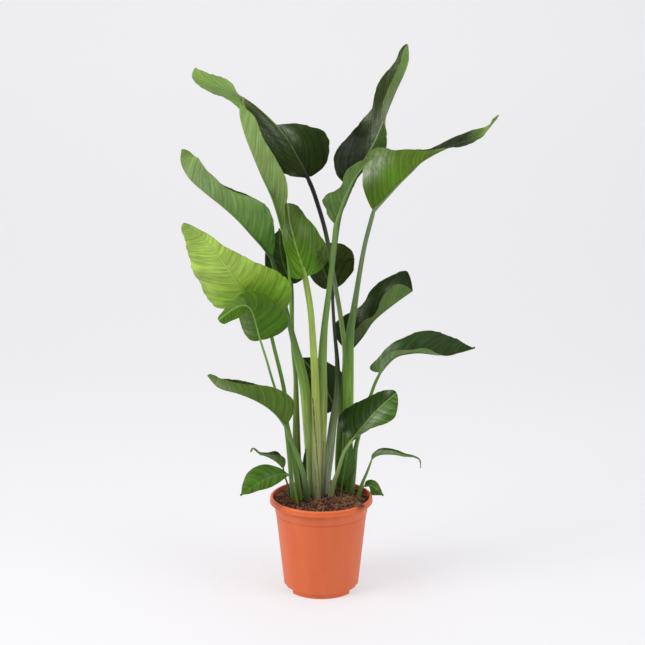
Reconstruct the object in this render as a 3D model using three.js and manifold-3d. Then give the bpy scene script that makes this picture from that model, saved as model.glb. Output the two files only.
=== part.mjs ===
// A potted bird of paradise, in millimetres, +Z up and the front of the plant towards -Y.
// The pot is a round moulded nursery pot. The soil fills it, and each leaf stands in its own hole in
// the soil: a leaf is one piece, from the sheath at its foot, up its stalk, to the tip of its blade.
// The leaves are laid out round the axis of the pot, and the group then moves so that the middle of
// the whole plant's box is over the origin.
import * as THREE from "three";
import { mergeVertices } from "three/addons/utils/BufferGeometryUtils.js";
import Module from "manifold-3d";

const wasm = await Module();
wasm.setup();

const POT_COLOUR = 0xd9623a;
const SOIL_COLOUR = 0x4a3222;
const LEAF_COLOUR = 0x3f6b22;

// Pot
const POT_HEIGHT = 224;
const RIM_RADIUS = 120; // outermost point of the rolled rim
const RIM_DEPTH = 13; // from the top of the rim down to its lower edge
const RIM_TOP = 5.5; // how thick the rim is over the hollow behind its skirt
const RIM_SKIRT = 2.2;
const RIM_INNER_RADIUS = 112;
const WALL_TOP_RADIUS = 110; // just under the rim
const BAND_HEIGHT = 186; // the faint step round the wall
const BAND_STEP = 1.2;
const CORNER_HEIGHT = 12; // lower corner of the wall, over the recessed foot
const CORNER_RADIUS = 87.5;
const FOOT_RADIUS = 81.5;
const FOOT_RING = 7; // width of the ring that the pot stands on
const WALL = 2.2;
const FLOOR_HEIGHT = 10; // underside of the floor
const POT_SIDES = 45;
const DRAIN_ANGLES = [-70, 70, 180]; // degrees from the front
const GAP_WIDTH = 46; // of the openings in the foot ring
const DRAIN_WIDTH = 20; // of the hole in the corner over each of them
const DRAIN_TOP = 15.5;

// Soil
const SOIL_LEVEL = 217;
const SOIL_HEAP = 5; // how much higher the middle is than the edge
const SOIL_BUMP = 2.2;
const SOIL_RINGS = [0, 24, 50, 76, 101];
const SOIL_SIDES = 34;
const SEAT_GAP = 0.3; // between pieces that touch

// Leaves
const STALK_STEP = 85; // length of a straight piece of a stalk
const STALK_DEPTH = [0.8, 0.65, 0.9, 1, 1]; // a stalk's depth over its breadth, from its foot up
const BLADE_THICKNESS = 1;
const BLADE_STATIONS = [0.012, 0.045, 0.1, 0.18, 0.27, 0.37, 0.47, 0.57, 0.68, 0.79, 0.9, 0.97, 1];
const SHORT_BLADE = 150;
const SHORT_STATIONS = [0.012, 0.07, 0.18, 0.34, 0.52, 0.72, 0.88, 1];
const ACROSS = [0.36, 0.7, 1]; // places across a half blade, from the rib's side to the edge
const BASE_ROUNDING = 0.08; // share of the blade over which its foot rounds out
const TIP_ROUNDING = 0.06; // and over which its tip rounds off
const LEAST_WIDTH = 1.6;
const RIB_SHARE = 0.9; // the rib's size at the blade's foot, over the top of the stalk
const TIP_RIB = 0.8;
const HUMP_LENGTH = 0.12; // share of the blade over which the stalk sinks into the upper face
const WAVE_OFFSET = 0.37; // the right edge waves this much later than the left
const WAVE_WIDTH = 30; // a narrower half waves less

// Each leaf, with its sizes chosen by eye:
// stalk and rib: the points that they pass, from the soil up and then on to the blade's tip.
// girth: half the stalk's breadth, from its foot to the blade.
// face: the way the blade's upper face looks, from its foot to its tip.
// left and right: the breadth of each half, evenly spaced along the rib.
// lift: degrees that each half rises from flat; curl: degrees that it bends on the way to its edge.
// sweep: degrees that both lean towards the tip; wave: height, number and start of the edge's waves.
const LEAVES = {
  "leaf_top_left": {
    "stalk": [
      [40, 62, 182], [41, 63, 300], [56, 66, 517], [46, 70, 626], [28, 76, 730], [10, 80, 830],
      [-15, 82, 915], [-31, 80, 955],
    ],
    "girth": [6, 9, 6, 5.2, 5],
    "rib": [
      [-31, 80, 955], [-50, 77, 995], [-82, 70, 1050], [-125, 64, 1098], [-172, 58, 1135],
      [-236, 50, 1164], [-262, 43, 1181], [-278, 38, 1201],
    ],
    "face": [[0.1, -1, 0.1], [0.2, -0.9, 0.4], [0.5, -0.3, 0.8], [0.3, 0.5, 0.7], [0.1, 0.8, 0.5]],
    "left": [
      10, 36, 60, 64, 66, 62, 57, 49, 49, 50, 38, 20, 2],
      "right": [30, 64, 89, 65, 47, 44, 44, 45, 47, 48, 43, 32, 12,
    ],
    "lift": [[0, -5, -30, -10, 0], [0, -5, -50, 10, 0]],
    "curl": [[0, -10, -20, 0, 0], [0, -20, -40, 0, 0]],
    "sweep": [-20, 5, 0, 10, 20], "wave": [3, 3, 0.1],
  },
  "leaf_upright_left": {
    "stalk": [
      [-50, 32, 182], [-57, 32, 330], [-58, 32, 400], [-59, 34, 492], [-66, 34, 574], [-70, 34, 680],
      [-75, 34, 770], [-84, 34, 823],
    ],
    "girth": [7, 9, 5, 3.5, 3],
    "rib": [
      [-84, 34, 823], [-108, 28, 907], [-133, 24, 964], [-152, 20, 1011], [-170, 16, 1060],
      [-180, 14, 1106], [-171, 12, 1139],
    ],
    "face": [[0.9, 0.3, 0.3], [0.9, 0.3, 0.3], [0.9, 0.2, 0.2]],
    "left": [6, 19, 45, 45, 36, 32, 0], "right": [6, 20, 48, 47, 40, 30, 0],
    "lift": [[65, 65, 65], [75, 75, 70]],
    "curl": [[10, 10, 10], [10, 10, 10]],
    "sweep": [0, 10, 20], "wave": [2, 2, 0.3],
  },
  "leaf_top_right": {
    "stalk": [
      [-2, 24, 182], [2, 28, 300], [4, 26, 420], [6, 22, 565], [20, 30, 704], [40, 40, 859],
      [54, 45, 902], [69, 48, 938],
    ],
    "girth": [6, 8, 5, 4.5, 4],
    "rib": [
      [69, 48, 938], [92, 46, 987], [120, 40, 1039], [139, 30, 1086], [154, 18, 1126], [167, 7, 1158],
      [180, -3, 1187], [190, -10, 1219], [188, -15, 1252],
    ],
    "face": [[-0.05, -0.95, 0.12], [-0.4, -0.9, 0.1], [-0.6, -0.8, 0.2], [-0.9, -0.4, 0.2]],
    "left": [
      24, 50, 71, 66, 57, 46, 36, 40, 43, 38, 30, 25, 13],
      "right": [2, 6, 18, 40, 61, 65, 61, 48, 33, 30, 28, 22, 12,
    ],
    "lift": [[0, 0, 30, 30], [20, 35, 70, 70]],
    "curl": [[0, -10, 10, 10], [0, 10, 20, 20]],
    "sweep": [-24, 5, 10, 30], "wave": [3, 2.5, 0.2],
  },
  "leaf_inner_right": {
    "stalk": [
      [-6, -4, 182], [-2, -8, 340], [2, -10, 455], [3, -12, 557], [9, -14, 643], [18, -16, 717],
      [26, -18, 792], [33, -20, 862],
    ],
    "girth": [8, 13, 11, 6, 5.5],
    "rib": [
      [33, -20, 862], [44, -16, 896], [57, -13, 931], [74, -11, 962], [97, -9, 991], [118, -7, 1008],
    ],
    "face": [[-0.35, 0.9, 0.2], [-0.4, 0.9, 0.2], [-0.5, 0.8, 0.3]],
    "left": [18, 36, 34, 16, 12, 8, 0], "right": [12, 24, 32, 48, 40, 24, 19, 24, 26, 20, 14, 8, 0],
    "lift": [[65, 60, 60], [10, 10, 20]],
    "curl": [[10, 10, 10], [0, 0, 0]],
    "sweep": [-10, 0, 20], "wave": [4, 5, 0.1],
  },
  "leaf_upper_right": {
    "stalk": [
      [57, 46, 182], [62, 48, 340], [63, 48, 440], [64, 48, 521], [66, 44, 593], [75, 38, 658],
      [86, 30, 734], [99, 25, 810], [118, 20, 886],
    ],
    "girth": [9, 12.5, 11.5, 6, 5],
    "rib": [
      [118, 20, 886], [146, 10, 918], [173, 0, 949], [201, -10, 978], [224, -18, 1001],
      [271, -30, 1028], [324, -40, 1049], [356, -46, 1065], [384, -50, 1102],
    ],
    "face": [
      [-0.6, 0.35, 0.72], [-0.55, 0.35, 0.8], [-0.4, 0, 0.9], [-0.2, -0.5, 0.8], [-0.3, 0.6, 0.9],
    ],
    "left": [
      28, 53, 70, 84, 74, 50, 24, 17, 20, 23, 24, 16, 5],
      "right": [26, 61, 84, 97, 86, 50, 20, 15, 20, 24, 24, 18, 5,
    ],
    "lift": [[80, 70, 40, 20, 10], [60, 60, 50, 10, 10]],
    "curl": [[10, 10, 0, 0, 0], [30, 20, 10, 0, 0]],
    "sweep": [-10, 0, 0, 10, 20], "wave": [3, 3, 0.5],
  },
  "leaf_upper_left": {
    "stalk": [
      [-18, 12, 182], [-29, 8, 379], [-37, 4, 475], [-48, 0, 535], [-60, -4, 583], [-77, -10, 656],
      [-92, -15, 723], [-111, -20, 785],
    ],
    "girth": [8, 12, 12, 6, 4.5],
    "rib": [
      [-111, -20, 785], [-131, -28, 813], [-153, -36, 839], [-183, -46, 874], [-217, -54, 906],
      [-254, -62, 937], [-284, -70, 966], [-302, -76, 1001], [-300, -80, 1031],
    ],
    "face": [[0.75, 0.2, 0.6], [0.75, 0.2, 0.6], [0.6, 0.3, 0.6]],
    "left": [
      14, 29, 48, 64, 71, 60, 43, 38, 41, 42, 41, 37, 26],
      "right": [12, 24, 40, 54, 60, 56, 46, 39, 40, 40, 38, 34, 24,
    ],
    "lift": [[65, 65, 65], [80, 80, 80]],
    "curl": [[20, 0, 20], [0, 0, 0]],
    "sweep": [-20, 0, 20], "wave": [4, 2, 0.2],
  },
  "leaf_centre": {
    "stalk": [
      [-10, -24, 182], [-11, -25, 364], [-12, -28, 460], [-18, -36, 590], [-24, -44, 674],
      [-36, -50, 750],
    ],
    "girth": [8, 11, 9.5, 7.5, 6.8],
    "rib": [
      [-36, -50, 750], [-43, -53, 777], [-53, -54, 806], [-61, -52, 835], [-69, -44, 865],
      [-73, -30, 892], [-75, -12, 907],
    ],
    "face": [[0.2, -1, 0.1], [0.2, -0.9, 0.3], [0.1, -0.6, 0.8]],
    "left": [16, 42, 46, 40, 28, 16, 6], "right": [20, 58, 76, 64, 52, 40, 20],
    "lift": [[20, 34, 40], [0, 0, 0]],
    "curl": [[20, 20, 20], [-20, -30, -30]],
    "sweep": [-30, 0, 10], "wave": [3, 2.5, 0.4],
  },
  "leaf_bright_left": {
    "stalk": [
      [-44, -20, 182], [-64, -30, 330], [-79, -38, 412], [-84, -42, 488], [-106, -50, 590],
      [-118, -55, 647],
    ],
    "girth": [6, 7, 5.5, 4.5, 4],
    "rib": [
      [-118, -55, 647], [-149, -62, 691], [-176, -72, 729], [-204, -84, 771], [-231, -96, 812],
      [-259, -108, 845], [-296, -121, 876],
    ],
    "face": [[0.15, 0.95, 0.25], [0.15, 0.95, 0.25], [0.15, 0.95, 0.25]],
    "left": [
      36, 64, 89, 92, 83, 67, 51, 37, 25, 19, 13, 9, 6],
      "right": [34, 47, 58, 71, 87, 91, 84, 78, 72, 62, 45, 30, 18,
    ],
    "lift": [[15, 10, 10], [10, 10, 10]],
    "curl": [[0, 0, 0], [0, 0, 0]],
    "sweep": [-20, 0, 0], "wave": [4, 4, 0],
  },
  "leaf_curled_left": {
    "stalk": [
      [-61, -32, 182], [-75, -42, 345], [-88, -46, 443], [-107, -51, 503], [-122, -63, 562],
      [-135, -74, 609],
    ],
    "girth": [5.5, 5, 3.2, 2.8, 2.6],
    "rib": [
      [-135, -74, 609], [-142, -80, 638], [-149, -88, 667], [-156, -96, 686], [-172, -104, 694],
      [-197, -112, 683], [-223, -121, 664],
    ],
    "face": [[0, 1, 0.1], [0, 1, 0], [0, 1, 0.1]],
    "left": [40, 69, 70, 50, 18, 12, 9], "right": [20, 32, 32, 30, 24, 20, 14],
    "lift": [[10, 0, 30], [10, 0, 0]],
    "curl": [[0, 0, 40], [0, 0, 0]],
    "sweep": [-10, 0, 10], "wave": [3, 3, 0.3],
  },
  "leaf_back_left": {
    "stalk": [
      [-44, 52, 182], [-60, 54, 367], [-61, 56, 510], [-66, 60, 604], [-66, 66, 674], [-67, 70, 711],
    ],
    "girth": [5, 6, 4, 3.5, 3],
    "rib": [[-67, 70, 711], [-84, 70, 748], [-94, 72, 790], [-96, 80, 838]],
    "face": [[0.2, -1, 0.1], [0.2, -0.9, 0.3], [0.1, -0.7, 0.6]],
    "left": [18, 44, 48, 44, 34, 18, 0], "right": [16, 44, 50, 46, 36, 20, 0],
    "lift": [[0, 10, 10], [0, 10, 10]],
    "curl": [[0, 0, 0], [0, 0, 0]],
    "sweep": [-30, 0, 20], "wave": [3, 2, 0.2],
  },
  "leaf_back_centre": {
    "stalk": [
      [8, 6, 182], [13, 11, 265], [21, 20, 335], [27, 34, 385], [36, 50, 445], [38, 70, 516],
      [31, 92, 597], [27, 108, 663], [28, 112, 691],
    ],
    "girth": [8, 10.5, 8, 4.5, 4],
    "rib": [[28, 112, 691], [14, 114, 716], [2, 120, 750], [6, 135, 796]],
    "face": [[0.2, -1, 0.1], [0.2, -0.9, 0.3], [0.1, -0.7, 0.6]],
    "left": [4, 22, 34, 38, 30, 20, 6], "right": [22, 54, 72, 77, 76, 68, 42],
    "lift": [[0, 10, 10], [0, 10, 10]],
    "curl": [[0, 0, 0], [0, 0, 0]],
    "sweep": [-15, 0, 10], "wave": [3, 2, 0.6],
  },
  "leaf_back_right": {
    "stalk": [[56, 74, 182], [66, 88, 330], [61, 98, 427], [58, 102, 499], [65, 100, 543]],
    "girth": [6, 8, 6, 5, 4],
    "rib": [[65, 100, 543], [96, 95, 580], [122, 88, 620], [165, 78, 659], [211, 66, 695]],
    "face": [[-0.7, -0.5, 0.6], [-0.6, -0.6, 0.6], [-0.6, -0.5, 0.7]],
    "left": [
      50, 67, 77, 76, 68, 52, 50, 60, 66, 66, 64, 59, 44],
      "right": [14, 30, 30, 29, 26, 20, 12, 20, 34, 42, 44, 42, 38,
    ],
    "lift": [[20, 20, 20], [80, 80, 80]],
    "curl": [[10, 10, 10], [20, 20, 20]],
    "sweep": [-13, 0, 30], "wave": [3, 2, 0.1],
  },
  "leaf_mid_right": {
    "stalk": [
      [66, 12, 182], [78, 10, 318], [86, 10, 361], [101, 10, 421], [115, 10, 464], [124, 10, 490],
      [135, 10, 514],
    ],
    "girth": [7, 8, 5, 4, 3.5],
    "rib": [
      [135, 10, 514], [152, 6, 536], [168, 2, 552], [186, -2, 560], [224, -10, 566], [271, -20, 563],
      [309, -28, 571], [346, -35, 584],
    ],
    "face": [[-0.6, -0.3, 0.8], [-0.2, -0.4, 0.9], [0, -0.5, 0.9]],
    "left": [42, 31, 39, 60, 56, 34, 0], "right": [8, 16, 20, 20, 16, 14, 22, 26, 18, 8, 2, 0, 0],
    "lift": [[40, 30, 10], [80, 60, -30]],
    "curl": [[-10, -10, -10], [10, 10, 10]],
    "sweep": [-45, 0, 10], "wave": [3, 2, 0.7],
  },
  "leaf_low_right": {
    "stalk": [[17, -14, 182], [25, -17, 244], [39, -26, 292], [52, -36, 339], [71, -40, 369]],
    "girth": [7, 7, 5, 4, 3.5],
    "rib": [
      [71, -40, 369], [86, -43, 390], [102, -47, 411], [121, -53, 436], [139, -60, 457],
      [155, -66, 474], [169, -71, 488],
    ],
    "face": [[-0.5, -0.6, 0.6], [-0.5, -0.6, 0.6], [-0.5, -0.6, 0.6]],
    "left": [38, 80, 72, 52, 40, 30, 12], "right": [8, 24, 37, 47, 56, 53, 24],
    "lift": [[10, 10, 0], [40, 20, 0]],
    "curl": [[-20, -20, 0], [0, 0, 0]],
    "sweep": [-20, 0, 0], "wave": [2, 1.5, 0.3],
  },
  "leaf_low_left": {
    "stalk": [
      [-26, -36, 182], [-38, -48, 276], [-50, -56, 326], [-63, -63, 361], [-75, -69, 396],
      [-81, -70, 411],
    ],
    "girth": [6, 7, 6, 5, 4],
    "rib": [
      [-81, -70, 411], [-99, -78, 438], [-121, -86, 460], [-150, -94, 479], [-184, -102, 495],
      [-226, -110, 510], [-250, -116, 539],
    ],
    "face": [[0.45, 0.2, 0.85], [0.45, 0.2, 0.85], [0.5, 0.2, 0.8]],
    "left": [16, 50, 48, 34, 24, 22, 12], "right": [16, 46, 44, 37, 30, 24, 12],
    "lift": [[65, 65, 65], [80, 60, 60]],
    "curl": [[20, 10, 10], [0, 0, 0]],
    "sweep": [-10, 0, 0], "wave": [3, 2, 0.5],
  },
  "leaf_rim_left": {
    "stalk": [[-50, -50, 182], [-60, -57, 256], [-68, -62, 280], [-75, -65, 295]],
    "girth": [4, 4, 3, 2.6, 2.4],
    "rib": [[-75, -65, 295], [-95, -75, 298], [-120, -84, 293], [-149, -92, 279], [-182, -100, 257]],
    "face": [[0, -0.7, 0.7], [0, -0.8, 0.6], [0, -0.8, 0.6]],
    "left": [5, 16, 22, 22, 16, 10, 0], "right": [5, 20, 31, 36, 34, 19, 0],
    "lift": [[10, 10, 10], [10, 10, 10]],
    "curl": [[-20, -20, -20], [-20, -20, -20]],
    "sweep": [0, 0, 10], "wave": [2, 1.5, 0.2],
  },
  "leaf_rim_left_small": {
    "stalk": [[-66, -5, 190], [-78, -5, 250], [-84, -5, 270], [-88, -5, 291]],
    "girth": [3, 3, 2.5, 2, 2],
    "rib": [
      [-88, -5, 291], [-103, -10, 308], [-125, -20, 324], [-142, -26, 331], [-155, -32, 346],
      [-161, -36, 339],
    ],
    "face": [[0.6, 0.1, 0.8], [0.3, -0.1, 0.9], [0, -0.1, 0.9]],
    "left": [8, 21, 20, 10, 6, 4, 0], "right": [6, 20, 22, 10, 6, 4, 0],
    "lift": [[60, 50, 50], [40, 40, 40]],
    "curl": [[20, 20, 20], [20, 20, 20]],
    "sweep": [0, 0, 0], "wave": [1.5, 2, 0],
  },
  "leaf_rim_right": {
    "stalk": [[83, -5, 182], [91, -8, 241], [106, -14, 284], [117, -20, 318]],
    "girth": [8, 6, 4, 3, 2],
    "rib": [
      [117, -20, 318], [128, -24, 327], [144, -29, 332], [170, -36, 333], [189, -43, 331],
      [209, -50, 332], [224, -55, 326], [226, -58, 308],
    ],
    "face": [[-0.3, 0.1, 0.9], [0, 0.1, 0.9], [0.3, 0.1, 0.9]],
    "left": [6, 14, 14, 10, 6, 3, 2], "right": [6, 15, 14, 10, 6, 3, 2],
    "lift": [[60, 60, 20], [60, 50, 20]],
    "curl": [[0, 0, 0], [0, 0, 0]],
    "sweep": [-20, 0, 0], "wave": [1, 2, 0],
  },
  "leaf_rim_right_small": {
    "stalk": [[84, 34, 190], [88, 36, 214], [94, 38, 228], [102, 42, 235]],
    "girth": [3, 3, 2.5, 2, 2],
    "rib": [[102, 42, 232], [116, 45, 233], [131, 47, 223], [147, 48, 206]],
    "face": [[0, -0.9, 0.4], [0, -0.9, 0.4], [0.1, -0.9, 0.4]],
    "left": [6, 12, 14, 12, 8, 4, 0], "right": [2, 3, 12, 20, 16, 8, 0],
    "lift": [[10, 10, 10], [10, 10, 10]],
    "curl": [[0, 0, 0], [0, 0, 0]],
    "sweep": [0, 0, 0], "wave": [1.5, 1, 0],
  },
  "leaf_inner_back": {
    "stalk": [[14, 60, 182], [23, 90, 306], [32, 112, 373], [33, 120, 401]],
    "girth": [5, 5, 4, 3.5, 3],
    "rib": [[33, 120, 401], [9, 118, 451], [-22, 112, 496], [-48, 105, 530]],
    "face": [[0.5, -0.8, 0.3], [0.5, -0.8, 0.3], [0.5, -0.8, 0.3]],
    "left": [20, 50, 56, 52, 40, 24, 0], "right": [20, 56, 64, 56, 40, 22, 0],
    "lift": [[0, 0, 0], [0, 0, 0]],
    "curl": [[0, 0, 0], [0, 0, 0]],
    "sweep": [-20, 0, 10], "wave": [3, 2, 0.4],
  },
  "sheath_left": {
    "stalk": [[-34, -8, 190], [-35, -8, 250], [-36, -7, 285]],
    "girth": [5, 5, 4, 3, 2.5],
    "rib": [[-36, -7, 285], [-36, -7, 312], [-35, -6, 338]],
    "face": [[-0.5, -0.8, 0], [-0.5, -0.8, 0]],
    "left": [4, 7, 6, 4, 1], "right": [4, 7, 6, 4, 1],
    "lift": [[30, 30, 30], [30, 30, 30]],
    "curl": [[20, 20, 20], [20, 20, 20]],
    "sweep": [0, 0, 0], "wave": [0.5, 1, 0],
  },
  "sheath_right": {
    "stalk": [[42, 0, 190], [45, -1, 225], [48, -2, 250]],
    "girth": [5, 5, 4, 3, 2.5],
    "rib": [[48, -2, 250], [54, -5, 290], [60, -8, 330], [67, -8, 378]],
    "face": [[0.1, 0.95, 0], [0.1, 0.95, 0]],
    "left": [8, 22, 26, 22, 14, 8, 0], "right": [6, 10, 12, 10, 8, 4, 0],
    "lift": [[10, 10, 10], [10, 10, 10]],
    "curl": [[20, 20, 20], [20, 20, 20]],
    "sweep": [-10, 0, 0], "wave": [0.5, 1, 0],
  },
};

const radians = THREE.MathUtils.degToRad;

// A smooth run through evenly spaced numbers, t from 0 to 1.
function along(values, t) {
  const points = values.map((value, i) => new THREE.Vector2(i, value));
  return new THREE.SplineCurve(points).getPoint(t).y;
}

function curveThrough(points) {
  const vectors = points.map((p) => new THREE.Vector3(...p));
  const curve = new THREE.CatmullRomCurve3(vectors, false, "catmullrom", 0.5);
  curve.arcLengthDivisions = 240;
  return curve;
}

// The directions at a place on a curve: along it, out of the leaf's upper face, and to its right.
function frameAt(curve, u, face) {
  const reach = 0.01;
  const ahead = curve.getPointAt(Math.min(u + reach, 1));
  const behind = curve.getPointAt(Math.max(u - reach, 0));
  const forward = ahead.sub(behind).normalize();
  const up = face.clone().addScaledVector(forward, -face.dot(forward)).normalize();
  return { at: curve.getPointAt(u), forward, up, right: forward.clone().cross(up) };
}

// Rings of equal length, joined in order and capped. The first half of a ring is the upper face from
// left to right, and the second half is the lower face back again.
function loft(rings) {
  const count = rings[0].length;
  const half = count / 2;
  const last = (rings.length - 1) * count;
  const index = [];
  for (let start = 0; start < last; start += count) {
    for (let i = 0; i < count; i++) {
      const j = (i + 1) % count;
      const [a, b, c, d] = [start + i, start + j, start + count + i, start + count + j];
      // The lower face is split the mirrored way, so that both faces of a blade bend alike.
      index.push(...(i < half ? [a, b, c, b, d, c] : [a, b, d, a, d, c]));
    }
  }
  for (let i = 0; i + 1 < half; i++) {
    const j = count - 1 - i;
    index.push(i, j, i + 1, i + 1, j, j - 1);
    index.push(last + i, last + i + 1, last + j, last + i + 1, last + j - 1, last + j);
  }
  const positions = rings.flat().flatMap((point) => point.toArray());
  const geometry = new THREE.BufferGeometry();
  geometry.setAttribute("position", new THREE.Float32BufferAttribute(positions, 3));
  geometry.setIndex(index);
  return geometry;
}

// Rings up a leaf's stalk: ovals, broad at the sheath and round at the top.
function stalkRings(leaf, grow = 0) {
  const curve = curveThrough(leaf.stalk);
  const front = new THREE.Vector3(0, -1, 0);
  const top = new THREE.Vector3(...leaf.face[0]).normalize();
  const half = ACROSS.length * 2 + 3;
  const steps = Math.max(3, Math.round(curve.getLength() / STALK_STEP));
  return Array.from({ length: steps }, (_, step) => {
    const u = step / steps;
    const { at, up, right } = frameAt(curve, u, front.clone().lerp(top, u * u));
    const wide = along(leaf.girth, u);
    const deep = wide * along(STALK_DEPTH, u);
    return Array.from({ length: 2 * half }, (_, i) => {
      const angle = Math.PI - (Math.PI * (i + 0.5)) / half;
      const point = at.clone().addScaledVector(right, (wide + grow) * Math.cos(angle));
      return point.addScaledVector(up, (deep + grow) * Math.sin(angle));
    });
  });
}

function ribAt(leaf, t) {
  return THREE.MathUtils.lerp(leaf.girth.at(-1) * RIB_SHARE, TIP_RIB, Math.sqrt(t));
}

// One half of a blade at a place along its rib, side -1 for the left and 1 for the right. It leaves
// the rib at its lift angle and curls along an arc.
function halfAt(leaf, curve, t, side) {
  const k = side < 0 ? 0 : 1;
  const frame = frameAt(curve, t, curveThrough(leaf.face).getPoint(t));
  const sweep = radians(along(leaf.sweep, t));
  const out = frame.right.clone().multiplyScalar(side * Math.cos(sweep));
  out.addScaledVector(frame.forward, Math.sin(sweep));
  const foot = 1 - Math.min(t / BASE_ROUNDING, 1);
  const tip = 1 - Math.min((1 - t) / TIP_ROUNDING, 1);
  const rounding = Math.sqrt((1 - foot ** 2) * (1 - tip ** 2));
  const width = Math.max(along([leaf.left, leaf.right][k], t) * rounding, ribAt(leaf, t) + LEAST_WIDTH);
  const lift = radians(along(leaf.lift[k], t));
  const curl = radians(along(leaf.curl[k], t));
  const [height, waves, start] = leaf.wave;
  const swing = Math.sin(2 * Math.PI * (waves * t + start + k * WAVE_OFFSET));
  const wave = height * Math.min(1, width / WAVE_WIDTH) * swing;
  return { ...frame, out, width, lift, curl, wave };
}

// The place at a distance from the rib on a half blade, and the direction out of its upper face.
function placeOn(half, distance) {
  const share = distance / half.width;
  const bend = (half.curl * share) / 2;
  const reach = distance * (Math.abs(bend) < 1e-6 ? 1 : Math.sin(bend) / bend);
  const point = half.at.clone().addScaledVector(half.out, reach * Math.cos(half.lift + bend));
  point.addScaledVector(half.up, reach * Math.sin(half.lift + bend));
  const slope = half.lift + half.curl * share;
  const normal = half.up.clone().multiplyScalar(Math.cos(slope));
  normal.addScaledVector(half.out, -Math.sin(slope));
  point.addScaledVector(normal, half.wave * share * share);
  return { point, normal };
}

function bladeRings(leaf) {
  const curve = curveThrough(leaf.rib);
  const stations = curve.getLength() < SHORT_BLADE ? SHORT_STATIONS : BLADE_STATIONS;
  return stations.map((t) => {
    const rib = ribAt(leaf, t);
    const hump = rib * Math.max(0, 1 - t / HUMP_LENGTH);
    const upper = [];
    const lower = [];
    const add = (point, normal, above, below) => {
      upper.push(point.clone().addScaledVector(normal, BLADE_THICKNESS / 2 + above));
      lower.unshift(point.clone().addScaledVector(normal, -BLADE_THICKNESS / 2 - below));
    };
    const halves = [-1, 1].map((side) => {
      const half = halfAt(leaf, curve, t, side);
      return [rib, ...ACROSS.map((share) => rib + (half.width - rib) * share)].map((d) =>
        placeOn(half, d),
      );
    });
    for (const { point, normal } of halves[0].reverse()) add(point, normal, 0, 0);
    const { at, up } = halfAt(leaf, curve, t, 1);
    add(at, up, hump, rib);
    for (const { point, normal } of halves[1]) add(point, normal, 0, 0);
    return [...upper, ...lower];
  });
}

function solidOf(geometry) {
  geometry.deleteAttribute("normal");
  geometry.deleteAttribute("uv");
  const merged = mergeVertices(geometry, 1e-4);
  const vertProperties = new Float32Array(merged.attributes.position.array);
  const triVerts = new Uint32Array(merged.index.array);
  return new wasm.Manifold(new wasm.Mesh({ numProp: 3, vertProperties, triVerts }));
}

function geometryOf(solid) {
  const { vertProperties, triVerts } = solid.getMesh();
  const geometry = new THREE.BufferGeometry();
  geometry.setAttribute("position", new THREE.Float32BufferAttribute(vertProperties, 3));
  geometry.setIndex([...triVerts]);
  geometry.computeVertexNormals();
  return geometry;
}

// A turned shape from its outline of [radius, height] points, upright on +Z.
function turned(outline, sides) {
  const points = outline.map((p) => new THREE.Vector2(...p));
  return new THREE.LatheGeometry(points, sides).rotateX(Math.PI / 2);
}

// The radius of the wall's outside at a height.
function wallAt(z) {
  const share = (z - CORNER_HEIGHT) / (POT_HEIGHT - RIM_DEPTH - CORNER_HEIGHT);
  return THREE.MathUtils.lerp(CORNER_RADIUS, WALL_TOP_RADIUS, share);
}

function potSolid() {
  const lip = POT_HEIGHT - RIM_DEPTH;
  const ring = FOOT_RADIUS - FOOT_RING;
  const outline = [
    [0, FLOOR_HEIGHT],
    [ring, FLOOR_HEIGHT],
    [ring, 0],
    [FOOT_RADIUS, 0],
    [FOOT_RADIUS + 0.6, CORNER_HEIGHT - 2],
    [CORNER_RADIUS - 2, CORNER_HEIGHT - 1],
    [CORNER_RADIUS, CORNER_HEIGHT + 2],
    [wallAt(BAND_HEIGHT) - BAND_STEP, BAND_HEIGHT - 1],
    [wallAt(BAND_HEIGHT), BAND_HEIGHT],
    [wallAt(lip), lip],
    [RIM_INNER_RADIUS + 0.8, POT_HEIGHT - RIM_TOP],
    [RIM_RADIUS - RIM_SKIRT - 0.2, POT_HEIGHT - RIM_TOP],
    [RIM_RADIUS - RIM_SKIRT, lip],
    [RIM_RADIUS - 0.6, lip],
    [RIM_RADIUS, lip + 1.5],
    [RIM_RADIUS - 1.2, POT_HEIGHT - 4.5],
    [RIM_RADIUS - 3.5, POT_HEIGHT - 0.8],
    [RIM_INNER_RADIUS + 2.5, POT_HEIGHT],
    [RIM_INNER_RADIUS, POT_HEIGHT - 2.5],
    [wallAt(lip) - WALL, lip],
    [CORNER_RADIUS - WALL, FLOOR_HEIGHT + WALL],
    [0, FLOOR_HEIGHT + WALL],
  ];
  let pot = solidOf(turned(outline, POT_SIDES));
  const cut = (angle, from, width, top) => {
    const depth = CORNER_RADIUS + 8 - from;
    const slot = new THREE.BoxGeometry(width, depth, top + 2);
    slot.translate(0, -(from + depth / 2), top / 2 - 1);
    pot = pot.subtract(solidOf(slot.rotateZ(radians(angle))));
  };
  // Each opening in the foot ring has a drain hole over it, through the lower corner of the wall.
  for (const angle of DRAIN_ANGLES) {
    cut(angle, ring * Math.cos(Math.asin(GAP_WIDTH / 2 / ring)) - 4, GAP_WIDTH, FLOOR_HEIGHT);
    cut(angle, ring + 2, DRAIN_WIDTH, DRAIN_TOP);
  }
  return pot;
}

// The soil's top: level at the wall, a little higher in the middle, and lumpy.
function soilTop(x, y) {
  const heap = SOIL_HEAP * (1 - Math.hypot(x, y) ** 2 / RIM_INNER_RADIUS ** 2);
  const lumps = Math.sin(x / 9 + 1.3) * Math.cos(y / 11) + 0.6 * Math.sin(x / 5.3 + y / 7.1);
  return SOIL_LEVEL + heap + SOIL_BUMP * lumps;
}

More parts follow.
